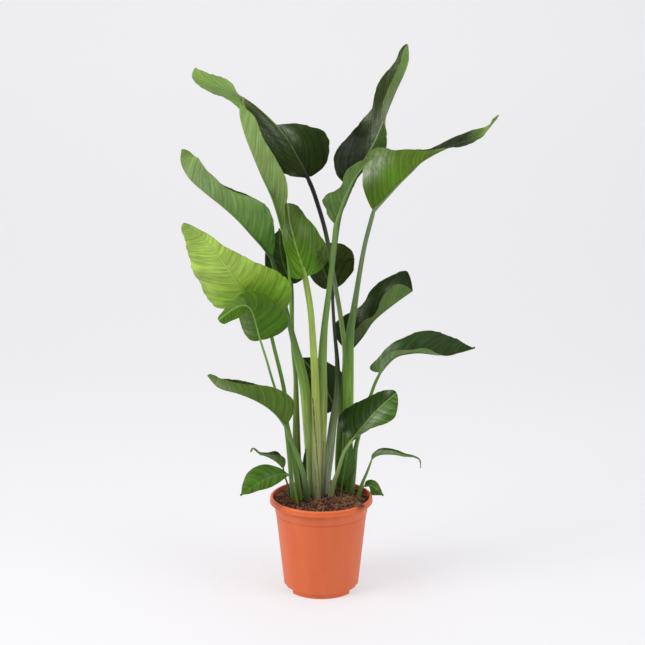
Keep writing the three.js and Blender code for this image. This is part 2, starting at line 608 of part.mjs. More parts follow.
function soilSolid() {
  const clear = WALL + 2 * SEAT_GAP;
  const floor = FLOOR_HEIGHT + WALL + SEAT_GAP;
  const edge = wallAt(SOIL_LEVEL - 2 * SOIL_BUMP) - clear;
  const outline = [[0, floor], [wallAt(floor) - clear, floor], [edge, SOIL_LEVEL - SOIL_BUMP]];
  for (const radius of SOIL_RINGS.toReversed()) outline.push([radius, SOIL_LEVEL]);
  const geometry = turned(outline, SOIL_SIDES);
  const position = geometry.attributes.position;
  for (let i = 0; i < position.count; i++) {
    if (position.getZ(i) < SOIL_LEVEL - SOIL_BUMP / 2) continue;
    position.setZ(i, soilTop(position.getX(i), position.getY(i)));
  }
  let soil = solidOf(geometry);
  for (const leaf of Object.values(LEAVES)) {
    const rings = stalkRings(leaf, SEAT_GAP);
    for (const point of rings[0]) point.z -= SEAT_GAP;
    soil = soil.subtract(solidOf(loft(rings)));
  }
  return soil;
}

function named(name, solid, color, roughness) {
  const mesh = new THREE.Mesh(
    geometryOf(solid),
    new THREE.MeshStandardMaterial({ color, roughness, metalness: 0 }),
  );
  mesh.name = name;
  return mesh;
}

const plant = new THREE.Group();
plant.add(named("pot", potSolid(), POT_COLOUR, 0.45));
plant.add(named("soil", soilSolid(), SOIL_COLOUR, 0.95));
for (const [name, leaf] of Object.entries(LEAVES)) {
  const solid = solidOf(loft([...stalkRings(leaf), ...bladeRings(leaf)]));
  plant.add(named(name, solid, LEAF_COLOUR, 0.4));
}

const middle = new THREE.Box3().setFromObject(plant).getCenter(new THREE.Vector3());
plant.position.set(-middle.x, -middle.y, 0);

export default plant;
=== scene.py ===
# A potted bird of paradise: long paddle leaves on sheathed stalks, in a round nursery pot full of
# peat. The leaves, the soil and the pot each stand where their solids stand, with finer shapes.
import math
import random

import bpy
import numpy as np
from mathutils import Matrix, Vector


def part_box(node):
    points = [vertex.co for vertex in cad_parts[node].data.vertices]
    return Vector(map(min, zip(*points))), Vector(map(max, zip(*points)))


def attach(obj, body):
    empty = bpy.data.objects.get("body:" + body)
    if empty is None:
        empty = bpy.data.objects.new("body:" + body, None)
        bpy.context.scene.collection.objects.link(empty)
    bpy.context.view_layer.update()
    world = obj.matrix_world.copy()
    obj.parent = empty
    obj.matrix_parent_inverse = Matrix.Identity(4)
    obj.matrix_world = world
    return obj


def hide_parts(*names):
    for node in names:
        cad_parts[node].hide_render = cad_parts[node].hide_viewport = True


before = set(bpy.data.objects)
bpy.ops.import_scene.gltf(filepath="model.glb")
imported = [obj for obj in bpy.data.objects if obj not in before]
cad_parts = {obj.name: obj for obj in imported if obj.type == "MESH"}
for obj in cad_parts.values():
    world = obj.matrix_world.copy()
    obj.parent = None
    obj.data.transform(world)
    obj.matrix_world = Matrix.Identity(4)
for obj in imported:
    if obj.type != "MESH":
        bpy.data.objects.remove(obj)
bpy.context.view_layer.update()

MM = 0.001
POT_LOW, POT_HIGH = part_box("pot")
POT_AXIS = np.array([(POT_LOW[0] + POT_HIGH[0]) / 2, (POT_LOW[1] + POT_HIGH[1]) / 2, 0])
BODY = "root"
MATERIALS = {}

# Camera: where it stands from the pot's axis, its pitch, and its view across the picture.
CAMERA_FROM_POT = (0.003, -3.0, 1.25)
CAMERA_PITCH = 11.6  # degrees below level
CAMERA_LENS = 75.35  # millimetres
CAMERA_SENSOR = 36  # millimetres

# Pot, in millimetres and degrees
POT_HEIGHT = 224
RIM_RADIUS = 120
RIM_DEPTH = 13
RIM_TOP = 5.5
RIM_SKIRT = 2.2
RIM_INNER_RADIUS = 112
WALL_TOP_RADIUS = 110
BAND_HEIGHT = 186
BAND_STEP = 1.2
CORNER_HEIGHT = 12
CORNER_RADIUS = 87.5
FOOT_RADIUS = 81.5
FOOT_RING = 7
WALL = 2.2
FLOOR_HEIGHT = 10
DRAIN_ANGLES = (-70, 70, 180)
GAP_WIDTH = 46
GAP_CORNER = 0.6
DRAIN_WIDTH = 20
DRAIN_TOP = 15.5
DRAIN_CORNER = 2.5
EDGE_ROUNDING = 0.8
POT_STEPS = 160

# Soil, in millimetres
SOIL_LEVEL = 217
SOIL_HEAP = 5
SOIL_BUMP = 2.2
SOIL_STEPS = 180
SOIL_RINGS = 64
SOIL_SHOULDER = 4  # drop of the soil at the wall
SOIL_GAP = 0.6  # between the soil and the wall
LOOSE_REACH = 104  # how far from the axis loose things lie on the soil
CHIPS = 1300
SMALL_CHIP = (1, 2.8)
LARGE_CHIP = (2.8, 5.5)
SMALL_SHARE = 0.75
CHIP_TILT = 0.7  # radians
FIBRES = 200
FIBRE_REACH = 98
FRONT_RADII = (30, 88)  # every third fibre lies at the front right
FRONT_ANGLES = (-60, 30)  # degrees
FIBRE_ROWS = 9
FIBRE_SIDES = 5
CLOD_FIBRES = 30
CLOD = ((52, 11), (-24, 9))  # middle and spread of the lump of coir on the soil, in x and in y
TUFT_FIBRES = 34
TUFT = ((89, 5), (-74, 5))  # the same for the fibres that hang over the pot's lip
TUFT_REACH = 122
TUFT_GIRTH = 0.7
LIP_BEND = 115  # from here outwards the lip falls away under the fibres

# Dry margins of the sheaths: the leaf on whose stalk each lies, half its breadth in millimetres
# at its top, and from there down the share of the stalk's length and the degrees round it.
DRY_EDGES = [
    ["leaf_centre", 2.2, [[0.5, 136], [0.41, 115], [0.32, 95], [0.23, 79], [0.155, 58], [0.1, 34]]],
    ["leaf_centre", 0.9, [[0.2, 100], [0.16, 96], [0.12, 90], [0.09, 80]]],
    ["leaf_inner_right", 1.0, [[0.26, 54], [0.2, 60], [0.158, 62], [0.085, 64]]],
]

EDGE_ROWS = 40
EDGE_SIDES = 6
EDGE_FLATNESS = 0.35

# Leaves, in millimetres
STALK_DEPTH = (0.8, 0.65, 0.9, 1, 1)  # a stalk's depth over its breadth, from its foot up
BLADE_THICKNESS = 0.9
BASE_ROUNDING = 0.08  # share of the blade's length
TIP_ROUNDING = 0.06
LEAST_WIDTH = 1.6
RIB_SHARE = 0.9
TIP_RIB = 0.8
HUMP_LENGTH = 0.12
HUMP_REST = 0.2  # height of the rib over the upper face past the hump
WAVE_OFFSET = 0.37
WAVE_WIDTH = 30
ROW_STEP = 3.4  # between rows of a blade's faces
LEAST_ROWS = 14
FIRST_ROW = 0.004
ROW_CROWDING = 0.12  # how much closer the rows lie at the foot and the tip
ACROSS = 13  # faces across half a blade
STALK_SIDES = 18
STALK_ROW = 11
LEAST_STALK_ROWS = 8
PLEAT_HEIGHT = 0.7  # soft folds along the veins
PLEAT_WIDTH = 17
PLEAT_START = 14  # distance from the rib where the folds have their full height
RAGGED = 0.012
RAGGED_WIDTH = 23
RUFFLE = 0.8
RUFFLE_WIDTH = 31
RIB_LIGHT = 1.4
# The pale grey-green of painted sheen, patches of which stand in for highlights on the leaves
PAINTED_SHEEN = "#a9b596"
SHEEN_STREAK = 9  # width of the streaks that break up a patch of painted sheen along the veins
SHEEN_BLOTCH = 6

# Looks
MIDDLE = (0.3, 0.7)  # between these lies most of a noise
MIX_FACTOR, MIX_FIRST, MIX_SECOND, MIX_RESULT = 0, 6, 7, 2  # sockets of a Mix node for colours

# Each leaf, in millimetres and degrees. The points are measured from the pot's axis, on the floor.
# A list runs from the foot to the tip, and one number in its place holds all the way. Shape:
# stalk and rib: the points that they pass, from the soil up and then on to the blade's tip.
# girth: half the stalk's breadth.
# face: the way the blade's upper face looks.
# left and right: the breadth of each half, evenly spaced along the rib.
# lift: degrees that the left and the right half rise from flat.
# curl: degrees that each half bends on the way to its edge.
# sweep: degrees that both lean towards the tip.
# wave: height, number and start of the edge's waves.
# ruffle: height of the small folds along the edge.
# ragged: the share of its breadth by which the edge wanders in and out.
# Looks:
# upper, under and skin: the colours of the upper face, of the underside and of the stalk.
# slant: how far a vein runs to the tip for each step that it takes away from the rib.
# halves: how light the left and the right half of the upper face are, painted light and shade for
# the half that faces the light and the half turned from it.
# line: how light the midrib is beside the face.
# The two lists of patches, for the upper face and the underside: painted light, pale patches of
# painted sheen and dark ones of painted shade, each with its place from foot to tip as a share, its
# distance right of the rib, its length as a share, its breadth, its strength and, where it is
# darker or greener than the pale sheen, its colour.
LEAVES = {}
LEAVES["leaf_top_left"] = dict(
    stalk=[[40, 62, 182], [41, 63, 300], [56, 66, 517], [46, 70, 626], [28, 76, 730], [10, 80, 830],
        [-15, 82, 915], [-31, 80, 955]],
    rib=[[-31, 80, 955], [-50, 77, 995], [-82, 70, 1050], [-125, 64, 1098], [-172, 58, 1135],
        [-236, 50, 1164], [-262, 43, 1181], [-278, 38, 1201]],
    girth=[6, 9, 6, 5.2, 5],
    face=[[0.1, -1, 0.1], [0.2, -0.9, 0.4], [0.5, -0.3, 0.8], [0.3, 0.5, 0.7], [0.1, 0.8, 0.5]],
    left=[10, 36, 60, 64, 66, 62, 57, 49, 49, 50, 38, 20, 2],
    right=[30, 64, 89, 65, 47, 44, 44, 45, 47, 48, 43, 32, 12],
    lift=[[0, -5, -30, -10, 0], [0, -5, -50, 10, 0]], curl=[[0, -10, -20, 0, 0], [0, -20, -40, 0, 0]],
    sweep=[-20, 5, 0, 10, 20], wave=[3, 3, 0.1],
    upper="#24300d #243809 #273110 #546525 #69882c", under="#577b33 #688e3e #7b9f4b #86a94f",
    # The top of this stalk is near black: painted shade under the blade
    skin="#51702b #5a7a30 #66862f #7f9a44 #8fae50 #758a58 #52623e #1a2411 #0f160a",
    slant=1.9, ruffle=0.9, ragged=0.022, halves=[1.15, 0.85], line=1.5,
    upper_wax=[[0.42, -12, 0.17, 7, 0.3], [0.36, -34, 0.12, 8, 0.22], [0.06, -40, 0.03, 14, 0.3],
        [0.3, 17, 0.08, 12, 0.36]],
)
LEAVES["leaf_upright_left"] = dict(
    stalk=[[-50, 32, 182], [-57, 32, 330], [-58, 32, 400], [-59, 34, 492], [-66, 34, 574],
        [-70, 34, 680], [-75, 34, 770], [-84, 34, 823]],
    rib=[[-84, 34, 823], [-108, 28, 907], [-133, 24, 964], [-152, 20, 1011], [-170, 16, 1060],
        [-180, 14, 1106], [-171, 12, 1139]],
    girth=[7, 9, 5, 3.5, 3], face=[[0.9, 0.3, 0.3], [0.9, 0.3, 0.3], [0.9, 0.2, 0.2]],
    left=[6, 19, 45, 45, 36, 32, 0], right=[6, 20, 48, 47, 40, 30, 0],
    lift=[65, [75, 75, 70]], curl=[10, 10], sweep=[0, 10, 20], wave=[2, 2, 0.3],
    upper="#2b470f #335210 #3c6015", under="#6c8b46 #7c9752 #85a05c #7a9c50",
    skin="#4c5a26 #5c6c32 #62732a #6b8c36 #73a038 #7aa63a #80aa3d",
    slant=1.5,
    under_wax=[[0.3, 2, 0.14, 12, 0.75, "#3c4a28"]],
)
LEAVES["leaf_top_right"] = dict(
    stalk=[[-2, 24, 182], [2, 28, 300], [4, 26, 420], [6, 22, 565], [20, 30, 704], [40, 40, 859],
        [54, 45, 902], [69, 48, 938]],
    rib=[[69, 48, 938], [92, 46, 987], [120, 40, 1039], [139, 30, 1086], [154, 18, 1126],
        [167, 7, 1158], [180, -3, 1187], [190, -10, 1219], [188, -15, 1252]],
    girth=[6, 8, 5, 4.5, 4],
    face=[[-0.05, -0.95, 0.12], [-0.4, -0.9, 0.1], [-0.6, -0.8, 0.2], [-0.9, -0.4, 0.2]],
    left=[24, 50, 71, 66, 57, 46, 36, 40, 43, 38, 30, 25, 13],
    right=[2, 6, 18, 40, 61, 65, 61, 48, 33, 30, 28, 22, 12],
    lift=[[0, 0, 30, 30], [20, 35, 70, 70]], curl=[[0, -10, 10, 10], [0, 10, 20, 20]],
    sweep=[-24, 5, 10, 30], wave=[3, 2.5, 0.2],
    upper="#17260a #1b2c0c #344520 #4b5e2d #374d1d",
    under="#597737 #61803e #698944 #63774a #6b8148 #6d8d47 #709048", skin="#667a3e #57712e #4d662b",
    slant=2.2, halves=[0.8, 2.1], line=1.9,
    # The dark second patch is painted shade on the left half near the foot
    upper_wax=[[0.43, -9, 0.13, 12, 0.55], [0.25, -50, 0.14, 26, 0.6, "#0e1606"],
        [0.46, -37, 0.07, 9, 0.45], [0.84, -24, 0.1, 12, 0.35]], under_wax=[[0.56, 22, 0.07, 22, 0.25]],
)
LEAVES["leaf_inner_right"] = dict(
    stalk=[[-6, -4, 182], [-2, -8, 340], [2, -10, 455], [3, -12, 557], [9, -14, 643], [18, -16, 717],
        [26, -18, 792], [33, -20, 862]],
    rib=[[33, -20, 862], [44, -16, 896], [57, -13, 931], [74, -11, 962], [97, -9, 991],
        [118, -7, 1008]],
    girth=[8, 13, 11, 6, 5.5], face=[[-0.35, 0.9, 0.2], [-0.4, 0.9, 0.2], [-0.5, 0.8, 0.3]],
    left=[18, 36, 34, 16, 12, 8, 0], right=[12, 24, 32, 48, 40, 24, 19, 24, 26, 20, 14, 8, 0],
    lift=[[65, 60, 60], [10, 10, 20]], curl=[10, 0], sweep=[-10, 0, 20], wave=[4, 5, 0.1],
    upper="#243a07 #2b450c", under="#506c30 #58753a #627d3c",
    skin="#6e6c62 #92a054 #7a9844 #6c8e3e #64883e",
    slant=1.2, ruffle=2.4, ragged=0.04, line=1.3,
)
LEAVES["leaf_upper_right"] = dict(
    stalk=[[57, 46, 182], [62, 48, 340], [63, 48, 440], [64, 48, 521], [66, 44, 593], [75, 38, 658],
        [86, 30, 734], [99, 25, 810], [118, 20, 886]],
    rib=[[118, 20, 886], [146, 10, 918], [173, 0, 949], [201, -10, 978], [224, -18, 1001],
        [271, -30, 1028], [324, -40, 1049], [356, -46, 1065], [384, -50, 1102]],
    girth=[9, 12.5, 11.5, 6, 5],
    face=[[-0.6, 0.35, 0.72], [-0.55, 0.35, 0.8], [-0.4, 0, 0.9], [-0.2, -0.5, 0.8], [-0.3, 0.6, 0.9]],
    left=[28, 53, 70, 84, 74, 50, 24, 17, 20, 23, 24, 16, 5],
    right=[26, 61, 84, 97, 86, 50, 20, 15, 20, 24, 24, 18, 5],
    lift=[[80, 70, 40, 20, 10], [60, 60, 50, 10, 10]], curl=[[10, 10, 0, 0, 0], [30, 20, 10, 0, 0]],
    sweep=[-10, 0, 0, 10, 20], wave=[3, 3, 0.5],
    upper="#2b470d #2e480f #314911 #334a12 #344b12 #2f4312 #293a13 #253314 #232f14 #29361a #526e2b "
          "#76943c #6a8a34", under="#4f7016 #557a18 #5e7d22 #6a8b26 #668430",
    skin="#4a6430 #62902a #7aa436 #5a7c34 #687c4c #728458",
    slant=0.9, ruffle=1.0, line=1.2,
    under_wax=[[0.19, 70, 0.12, 19, 1.25]],
)
LEAVES["leaf_upper_left"] = dict(
    stalk=[[-18, 12, 182], [-29, 8, 379], [-37, 4, 475], [-48, 0, 535], [-60, -4, 583],
        [-77, -10, 656], [-92, -15, 723], [-111, -20, 785]],
    rib=[[-111, -20, 785], [-131, -28, 813], [-153, -36, 839], [-183, -46, 874], [-217, -54, 906],
        [-254, -62, 937], [-284, -70, 966], [-302, -76, 1001], [-300, -80, 1031]],
    girth=[8, 12, 12, 6, 4.5], face=[[0.75, 0.2, 0.6], [0.75, 0.2, 0.6], [0.6, 0.3, 0.6]],
    left=[14, 29, 48, 64, 71, 60, 43, 38, 41, 42, 41, 37, 26],
    right=[12, 24, 40, 54, 60, 56, 46, 39, 40, 40, 38, 34, 24],
    lift=[65, 80], curl=[[20, 0, 20], 0], sweep=[-20, 0, 20], wave=[4, 2, 0.2],
    upper="#2b470d #2f4d0f #385712", under="#56802f #638a40 #72934f #829c60 #7b9548",
    skin="#6a7446 #a4c066 #86aa48 #628840 #4c6c3a",
    slant=0.8, line=1.3,
    under_wax=[[0.86, 12, 0.08, 16, 0.3], [0.6, 10, 0.12, 10, 0.25]],
)
LEAVES["leaf_centre"] = dict(
    stalk=[[-10, -24, 182], [-11, -25, 364], [-12, -28, 460], [-18, -36, 590], [-24, -44, 674],
        [-36, -50, 750]],
    rib=[[-36, -50, 750], [-43, -53, 777], [-53, -54, 806], [-61, -52, 835], [-69, -44, 865],
        [-73, -30, 892], [-75, -12, 907]],
    girth=[8, 11, 9.5, 7.5, 6.8], face=[[0.2, -1, 0.1], [0.2, -0.9, 0.3], [0.1, -0.6, 0.8]],
    left=[16, 42, 46, 40, 28, 16, 6], right=[20, 58, 76, 64, 52, 40, 20],
    lift=[[20, 34, 40], 0], curl=[20, [-20, -30, -30]], sweep=[-30, 0, 10], wave=[3, 2.5, 0.4],
    upper="#507c16 #52781a #48611f #3a501c", under="#5b7e33 #6e9040",
    skin="#787e60 #98a668 #98aa4e #a0b84c #84a03e",
    slant=1.6, line=2.0,
    # The first, dark patch is painted shade on the right half near the foot
    upper_wax=[[0.22, 56, 0.15, 24, 1.3, "#2c3e10"], [0.6, -22, 0.1, 12, 0.35],
        [0.56, 30, 0.08, 14, 0.12]],
)
LEAVES["leaf_bright_left"] = dict(
    stalk=[[-44, -20, 182], [-64, -30, 330], [-79, -38, 412], [-84, -42, 488], [-106, -50, 590],
        [-118, -55, 647]],
    rib=[[-118, -55, 647], [-149, -62, 691], [-176, -72, 729], [-204, -84, 771], [-231, -96, 812],
        [-259, -108, 845], [-296, -121, 876]],
    girth=[6, 7, 5.5, 4.5, 4], face=[[0.15, 0.95, 0.25]],
    left=[36, 64, 89, 92, 83, 67, 51, 37, 25, 19, 13, 9, 6],
    right=[34, 47, 58, 71, 87, 91, 84, 78, 72, 62, 45, 30, 18],
    lift=[[15, 10, 10], 10], sweep=[-20, 0, 0], wave=[4, 4, 0],
    upper="#5c8017 #6b911e #5c8021",
    under="#80a83c #6f9a2c #78a42c #90b43e #9fbf50 #a4c554 #a9cb58 #9cbe52 #92b44e",
    skin="#709338 #5a8325 #5a8720",
    slant=0.45, ruffle=2.0, ragged=0.02, line=0.62,
    under_wax=[[0.5, 76, 0.3, 10, 0.5, "#bdd27c"]],
)
LEAVES["leaf_curled_left"] = dict(
    stalk=[[-61, -32, 182], [-75, -42, 345], [-88, -46, 443], [-107, -51, 503], [-122, -63, 562],
        [-135, -74, 609]],
    rib=[[-135, -74, 609], [-142, -80, 638], [-149, -88, 667], [-156, -96, 686], [-172, -104, 694],
        [-197, -112, 683], [-223, -121, 664]],
    girth=[5.5, 5, 3.2, 2.8, 2.6], face=[[0, 1, 0.1], [0, 1, 0], [0, 1, 0.1]],
    left=[40, 69, 70, 50, 18, 12, 9], right=[20, 32, 32, 30, 24, 20, 14],
    lift=[[10, 0, 30], [10, 0, 0]], curl=[[0, 0, 40], 0], sweep=[-10, 0, 10], wave=[3, 3, 0.3],
    upper="#2b470d #2b470d", under="#416d09 #456b0b #4d7313", skin="#5a7831 #638b35 #80a74d",
    slant=0.5, ruffle=1.4, line=1.5,
    under_wax=[[0.28, 24, 0.22, 15, 0.5, "#9aa680"], [0.66, -9, 0.14, 10, 0.28, "#86a45c"],
        [0.95, 0, 0.06, 12, 0.5, "#3c4c20"]],
)
LEAVES["leaf_back_left"] = dict(
    stalk=[[-44, 52, 182], [-60, 54, 367], [-61, 56, 510], [-66, 60, 604], [-66, 66, 674],
        [-67, 70, 711]],
    rib=[[-67, 70, 711], [-84, 70, 748], [-94, 72, 790], [-96, 80, 838]],
    girth=[5, 6, 4, 3.5, 3], face=[[0.2, -1, 0.1], [0.2, -0.9, 0.3], [0.1, -0.7, 0.6]],
    left=[18, 44, 48, 44, 34, 18, 0], right=[16, 44, 50, 46, 36, 20, 0],
    lift=[[0, 10, 10], [0, 10, 10]], sweep=[-30, 0, 20], wave=[3, 2, 0.2],
    upper="#203507 #223a07 #263e0c", under="#49642a #527130", skin="#5a6f35 #516a2d #486420",
    slant=0.8,
)
LEAVES["leaf_back_centre"] = dict(
    stalk=[[8, 6, 182], [13, 11, 265], [21, 20, 335], [27, 34, 385], [36, 50, 445], [38, 70, 516],
        [31, 92, 597], [27, 108, 663], [28, 112, 691]],
    rib=[[28, 112, 691], [14, 114, 716], [2, 120, 750], [6, 135, 796]],
    girth=[8, 10.5, 8, 4.5, 4], face=[[0.2, -1, 0.1], [0.2, -0.9, 0.3], [0.1, -0.7, 0.6]],
    left=[4, 22, 34, 38, 30, 20, 6], right=[22, 54, 72, 77, 76, 68, 42],
    lift=[[0, 10, 10], [0, 10, 10]], sweep=[-15, 0, 10], wave=[3, 2, 0.6],
    upper="#26350a #26350c #2b3711", under="#49642a #527130",
    skin="#9ca08e #92a07c #566a40 #36442a #2f3f1b",
    slant=0.8,
)
LEAVES["leaf_back_right"] = dict(
    stalk=[[56, 74, 182], [66, 88, 330], [61, 98, 427], [58, 102, 499], [65, 100, 543]],
    rib=[[65, 100, 543], [96, 95, 580], [122, 88, 620], [165, 78, 659], [211, 66, 695]],
    girth=[6, 8, 6, 5, 4], face=[[-0.7, -0.5, 0.6], [-0.6, -0.6, 0.6], [-0.6, -0.5, 0.7]],
    left=[50, 67, 77, 76, 68, 52, 50, 60, 66, 66, 64, 59, 44],
    right=[14, 30, 30, 29, 26, 20, 12, 20, 34, 42, 44, 42, 38],
    lift=[20, 80], curl=[10, 20], sweep=[-13, 0, 30], wave=[3, 2, 0.1],
    upper="#182b04 #203307 #20330a", under="#3d5420 #485a2c #587234 #5a7638",
    skin="#5a6f35 #486420 #3d611c",
    slant=1.0,
    upper_wax=[[0.4, -36, 0.05, 22, 0.3], [0.75, -40, 0.06, 10, 0.25], [0.47, -45, 0.08, 10, 0.3]],
)
LEAVES["leaf_mid_right"] = dict(
    stalk=[[66, 12, 182], [78, 10, 318], [86, 10, 361], [101, 10, 421], [115, 10, 464], [124, 10, 490],
        [135, 10, 514]],
    rib=[[135, 10, 514], [152, 6, 536], [168, 2, 552], [186, -2, 560], [224, -10, 566],
        [271, -20, 563], [309, -28, 571], [346, -35, 584]],
    girth=[7, 8, 5, 4, 3.5], face=[[-0.6, -0.3, 0.8], [-0.2, -0.4, 0.9], [0, -0.5, 0.9]],
    left=[42, 31, 39, 60, 56, 34, 0], right=[8, 16, 20, 20, 16, 14, 22, 26, 18, 8, 2, 0, 0],
    lift=[[40, 30, 10], [80, 60, -30]], curl=[-10, 10], sweep=[-45, 0, 10], wave=[3, 2, 0.7],
    upper="#587a40 #2c5212 #284414 #263a10 #283c12 #223907", under="#7a9468 #6c8850 #64823a #5c7440",
    skin="#6d8748 #5a8329 #5a7f29",
    slant=0.7, ruffle=1.0, halves=[0.9, 1.1], line=0.6,
    upper_wax=[[0.2, -25, 0.1, 9, 0.4]],
)
LEAVES["leaf_low_right"] = dict(
    stalk=[[17, -14, 182], [25, -17, 244], [39, -26, 292], [52, -36, 339], [71, -40, 369]],
    rib=[[71, -40, 369], [86, -43, 390], [102, -47, 411], [121, -53, 436], [139, -60, 457],
        [155, -66, 474], [169, -71, 488]],
    girth=[7, 7, 5, 4, 3.5], face=[[-0.5, -0.6, 0.6]],
    left=[38, 80, 72, 52, 40, 30, 12], right=[8, 24, 37, 47, 56, 53, 24],
    lift=[[10, 10, 0], [40, 20, 0]], curl=[[-20, -20, 0], 0], sweep=[-20, 0, 0], wave=[2, 1.5, 0.3],
    upper="#1f3607 #233c08 #28430b", under="#527130 #60803c", skin="#869068 #7d9456 #809650",
    slant=0.6, halves=[0.85, 2.3], line=1.7,
    upper_wax=[[0.1, -58, 0.05, 12, 0.42], [0.02, -22, 0.05, 10, 0.5], [0.5, 20, 0.3, 18, 0.65],
        [0.9, -19, 0.07, 10, 0.35]],
)
LEAVES["leaf_low_left"] = dict(
    stalk=[[-26, -36, 182], [-38, -48, 276], [-50, -56, 326], [-63, -63, 361], [-75, -69, 396],
        [-81, -70, 411]],
    rib=[[-81, -70, 411], [-99, -78, 438], [-121, -86, 460], [-150, -94, 479], [-184, -102, 495],
        [-226, -110, 510], [-250, -116, 539]],
    girth=[6, 7, 6, 5, 4], face=[[0.45, 0.2, 0.85], [0.45, 0.2, 0.85], [0.5, 0.2, 0.8]],
    left=[16, 50, 48, 34, 24, 22, 12], right=[16, 46, 44, 37, 30, 24, 12],
    lift=[65, [80, 60, 60]], curl=[[20, 10, 10], 0], sweep=[-10, 0, 0], wave=[3, 2, 0.5],
    upper="#283e0c #2b440d #344b12", under="#4a671e #527123 #5d782a",
    skin="#38452a #4c6038 #61863e #5b7e38",
    slant=0.7, ruffle=1.0,
    under_wax=[[0.8, -5, 0.14, 9, 0.35]],
)
LEAVES["leaf_rim_left"] = dict(
    stalk=[[-50, -50, 182], [-60, -57, 256], [-68, -62, 280], [-75, -65, 295]],
    rib=[[-75, -65, 295], [-95, -75, 298], [-120, -84, 293], [-149, -92, 279], [-182, -100, 257]],
    girth=[4, 4, 3, 2.6, 2.4], face=[[0, -0.7, 0.7], [0, -0.8, 0.6], [0, -0.8, 0.6]],
    left=[5, 16, 22, 22, 16, 10, 0], right=[5, 20, 31, 36, 34, 19, 0],
    lift=[10, 10], curl=[-20, -20], sweep=[0, 0, 10], wave=[2, 1.5, 0.2],
    upper="#385c0e #3e630f #406312", under="#5b8037 #6e9044", skin="#6d8741 #5a7f2d",
    slant=0.6, ruffle=0.6, line=1.15,
    upper_wax=[[0.36, 6, 0.2, 16, 0.12]],
)
LEAVES["leaf_rim_left_small"] = dict(
    stalk=[[-66, -5, 190], [-78, -5, 250], [-84, -5, 270], [-88, -5, 291]],
    rib=[[-88, -5, 291], [-103, -10, 308], [-125, -20, 324], [-142, -26, 331], [-155, -32, 346],
        [-161, -36, 339]],
    girth=[3, 3, 2.5, 2, 2], face=[[0.6, 0.1, 0.8], [0.3, -0.1, 0.9], [0, -0.1, 0.9]],
    left=[8, 21, 20, 10, 6, 4, 0], right=[6, 20, 22, 10, 6, 4, 0],
    lift=[[60, 50, 50], 40], curl=[20, 20], sweep=0, wave=[1.5, 2, 0],
    upper="#283e0c #2b440d", under="#527130 #5b7b37", skin="#516a2d #486420",
    slant=0.6, ruffle=0.6,
    upper_wax=[[0.46, 8, 0.25, 9, 0.4]], under_wax=[[0.46, -6, 0.25, 9, 0.3]],
)
LEAVES["leaf_rim_right"] = dict(
    stalk=[[83, -5, 182], [91, -8, 241], [106, -14, 284], [117, -20, 318]],
    rib=[[117, -20, 318], [128, -24, 327], [144, -29, 332], [170, -36, 333], [189, -43, 331],
        [209, -50, 332], [224, -55, 326], [226, -58, 308]],
    girth=[8, 6, 4, 3, 2], face=[[-0.3, 0.1, 0.9], [0, 0.1, 0.9], [0.3, 0.1, 0.9]],
    left=[6, 14, 14, 10, 6, 3, 2], right=[6, 15, 14, 10, 6, 3, 2],
    lift=[[60, 60, 20], [60, 50, 20]], sweep=[-20, 0, 0], wave=[1, 2, 0],
    upper="#345212 #3a5c15 #3c5717", under="#5b8037 #658441 #5b6d3c", skin="#51742b #5a8331",
    slant=0.8, ruffle=0.5,
    under_wax=[[0.25, 8, 0.25, 9, 0.5]],
)
LEAVES["leaf_rim_right_small"] = dict(
    stalk=[[84, 34, 190], [88, 36, 214], [94, 38, 228], [102, 42, 235]],
    rib=[[102, 42, 232], [116, 45, 233], [131, 47, 223], [147, 48, 206]],
    girth=[3, 3, 2.5, 2, 2], face=[[0, -0.9, 0.4], [0, -0.9, 0.4], [0.1, -0.9, 0.4]],
    left=[6, 12, 14, 12, 8, 4, 0], right=[2, 3, 12, 20, 16, 8, 0],
    lift=[10, 10], sweep=0, wave=[1.5, 1, 0],
    upper="#345710 #3a6012 #345212", under="#5b8037 #658441", skin="#486420 #486f20",
    slant=0.6,
    upper_wax=[[0.52, -7, 0.22, 8, 0.45, "#9fac66"]],
)
LEAVES["leaf_inner_back"] = dict(
    stalk=[[14, 60, 182], [23, 90, 306], [32, 112, 373], [33, 120, 401]],
    rib=[[33, 120, 401], [9, 118, 451], [-22, 112, 496], [-48, 105, 530]],
    girth=[5, 5, 4, 3.5, 3], face=[[0.5, -0.8, 0.3]],
    left=[20, 50, 56, 52, 40, 24, 0], right=[20, 56, 64, 56, 40, 22, 0],
    lift=[0, 0], sweep=[-20, 0, 10], wave=[3, 2, 0.4],
    upper="#202e08 #223307 #283a0c", under="#455f2b #4d6c31", skin="#485c29 #3d531c",
    slant=0.7, line=2.0,
)
LEAVES["sheath_left"] = dict(
    stalk=[[-34, -8, 190], [-35, -8, 250], [-36, -7, 285]],
    rib=[[-36, -7, 285], [-36, -7, 312], [-35, -6, 338]],
    girth=[5, 5, 4, 3, 2.5], face=[[-0.5, -0.8, 0]],
    left=[4, 7, 6, 4, 1], right=[4, 7, 6, 4, 1],
    lift=[30, 30], curl=[20, 20], sweep=0, wave=[0.5, 1, 0],
    upper="#2b3e12 #263810", under="#364820 #2f411e", skin="#51612d #3d531c",
    slant=3, ruffle=0.3,
)
LEAVES["sheath_right"] = dict(
    stalk=[[42, 0, 190], [45, -1, 225], [48, -2, 250]],
    rib=[[48, -2, 250], [54, -5, 290], [60, -8, 330], [67, -8, 378]],
    girth=[5, 5, 4, 3, 2.5], face=[[0.1, 0.95, 0]],
    left=[8, 22, 26, 22, 14, 8, 0], right=[6, 10, 12, 10, 8, 4, 0],
    lift=[10, 10], curl=[20, 20], sweep=[-10, 0, 0], wave=[0.5, 1, 0],
    upper="#3c6017 #44681c", under="#38561c #426424 #3c5620", skin="#6d8348 #51742b",
    slant=1.5, ruffle=0.5,
)


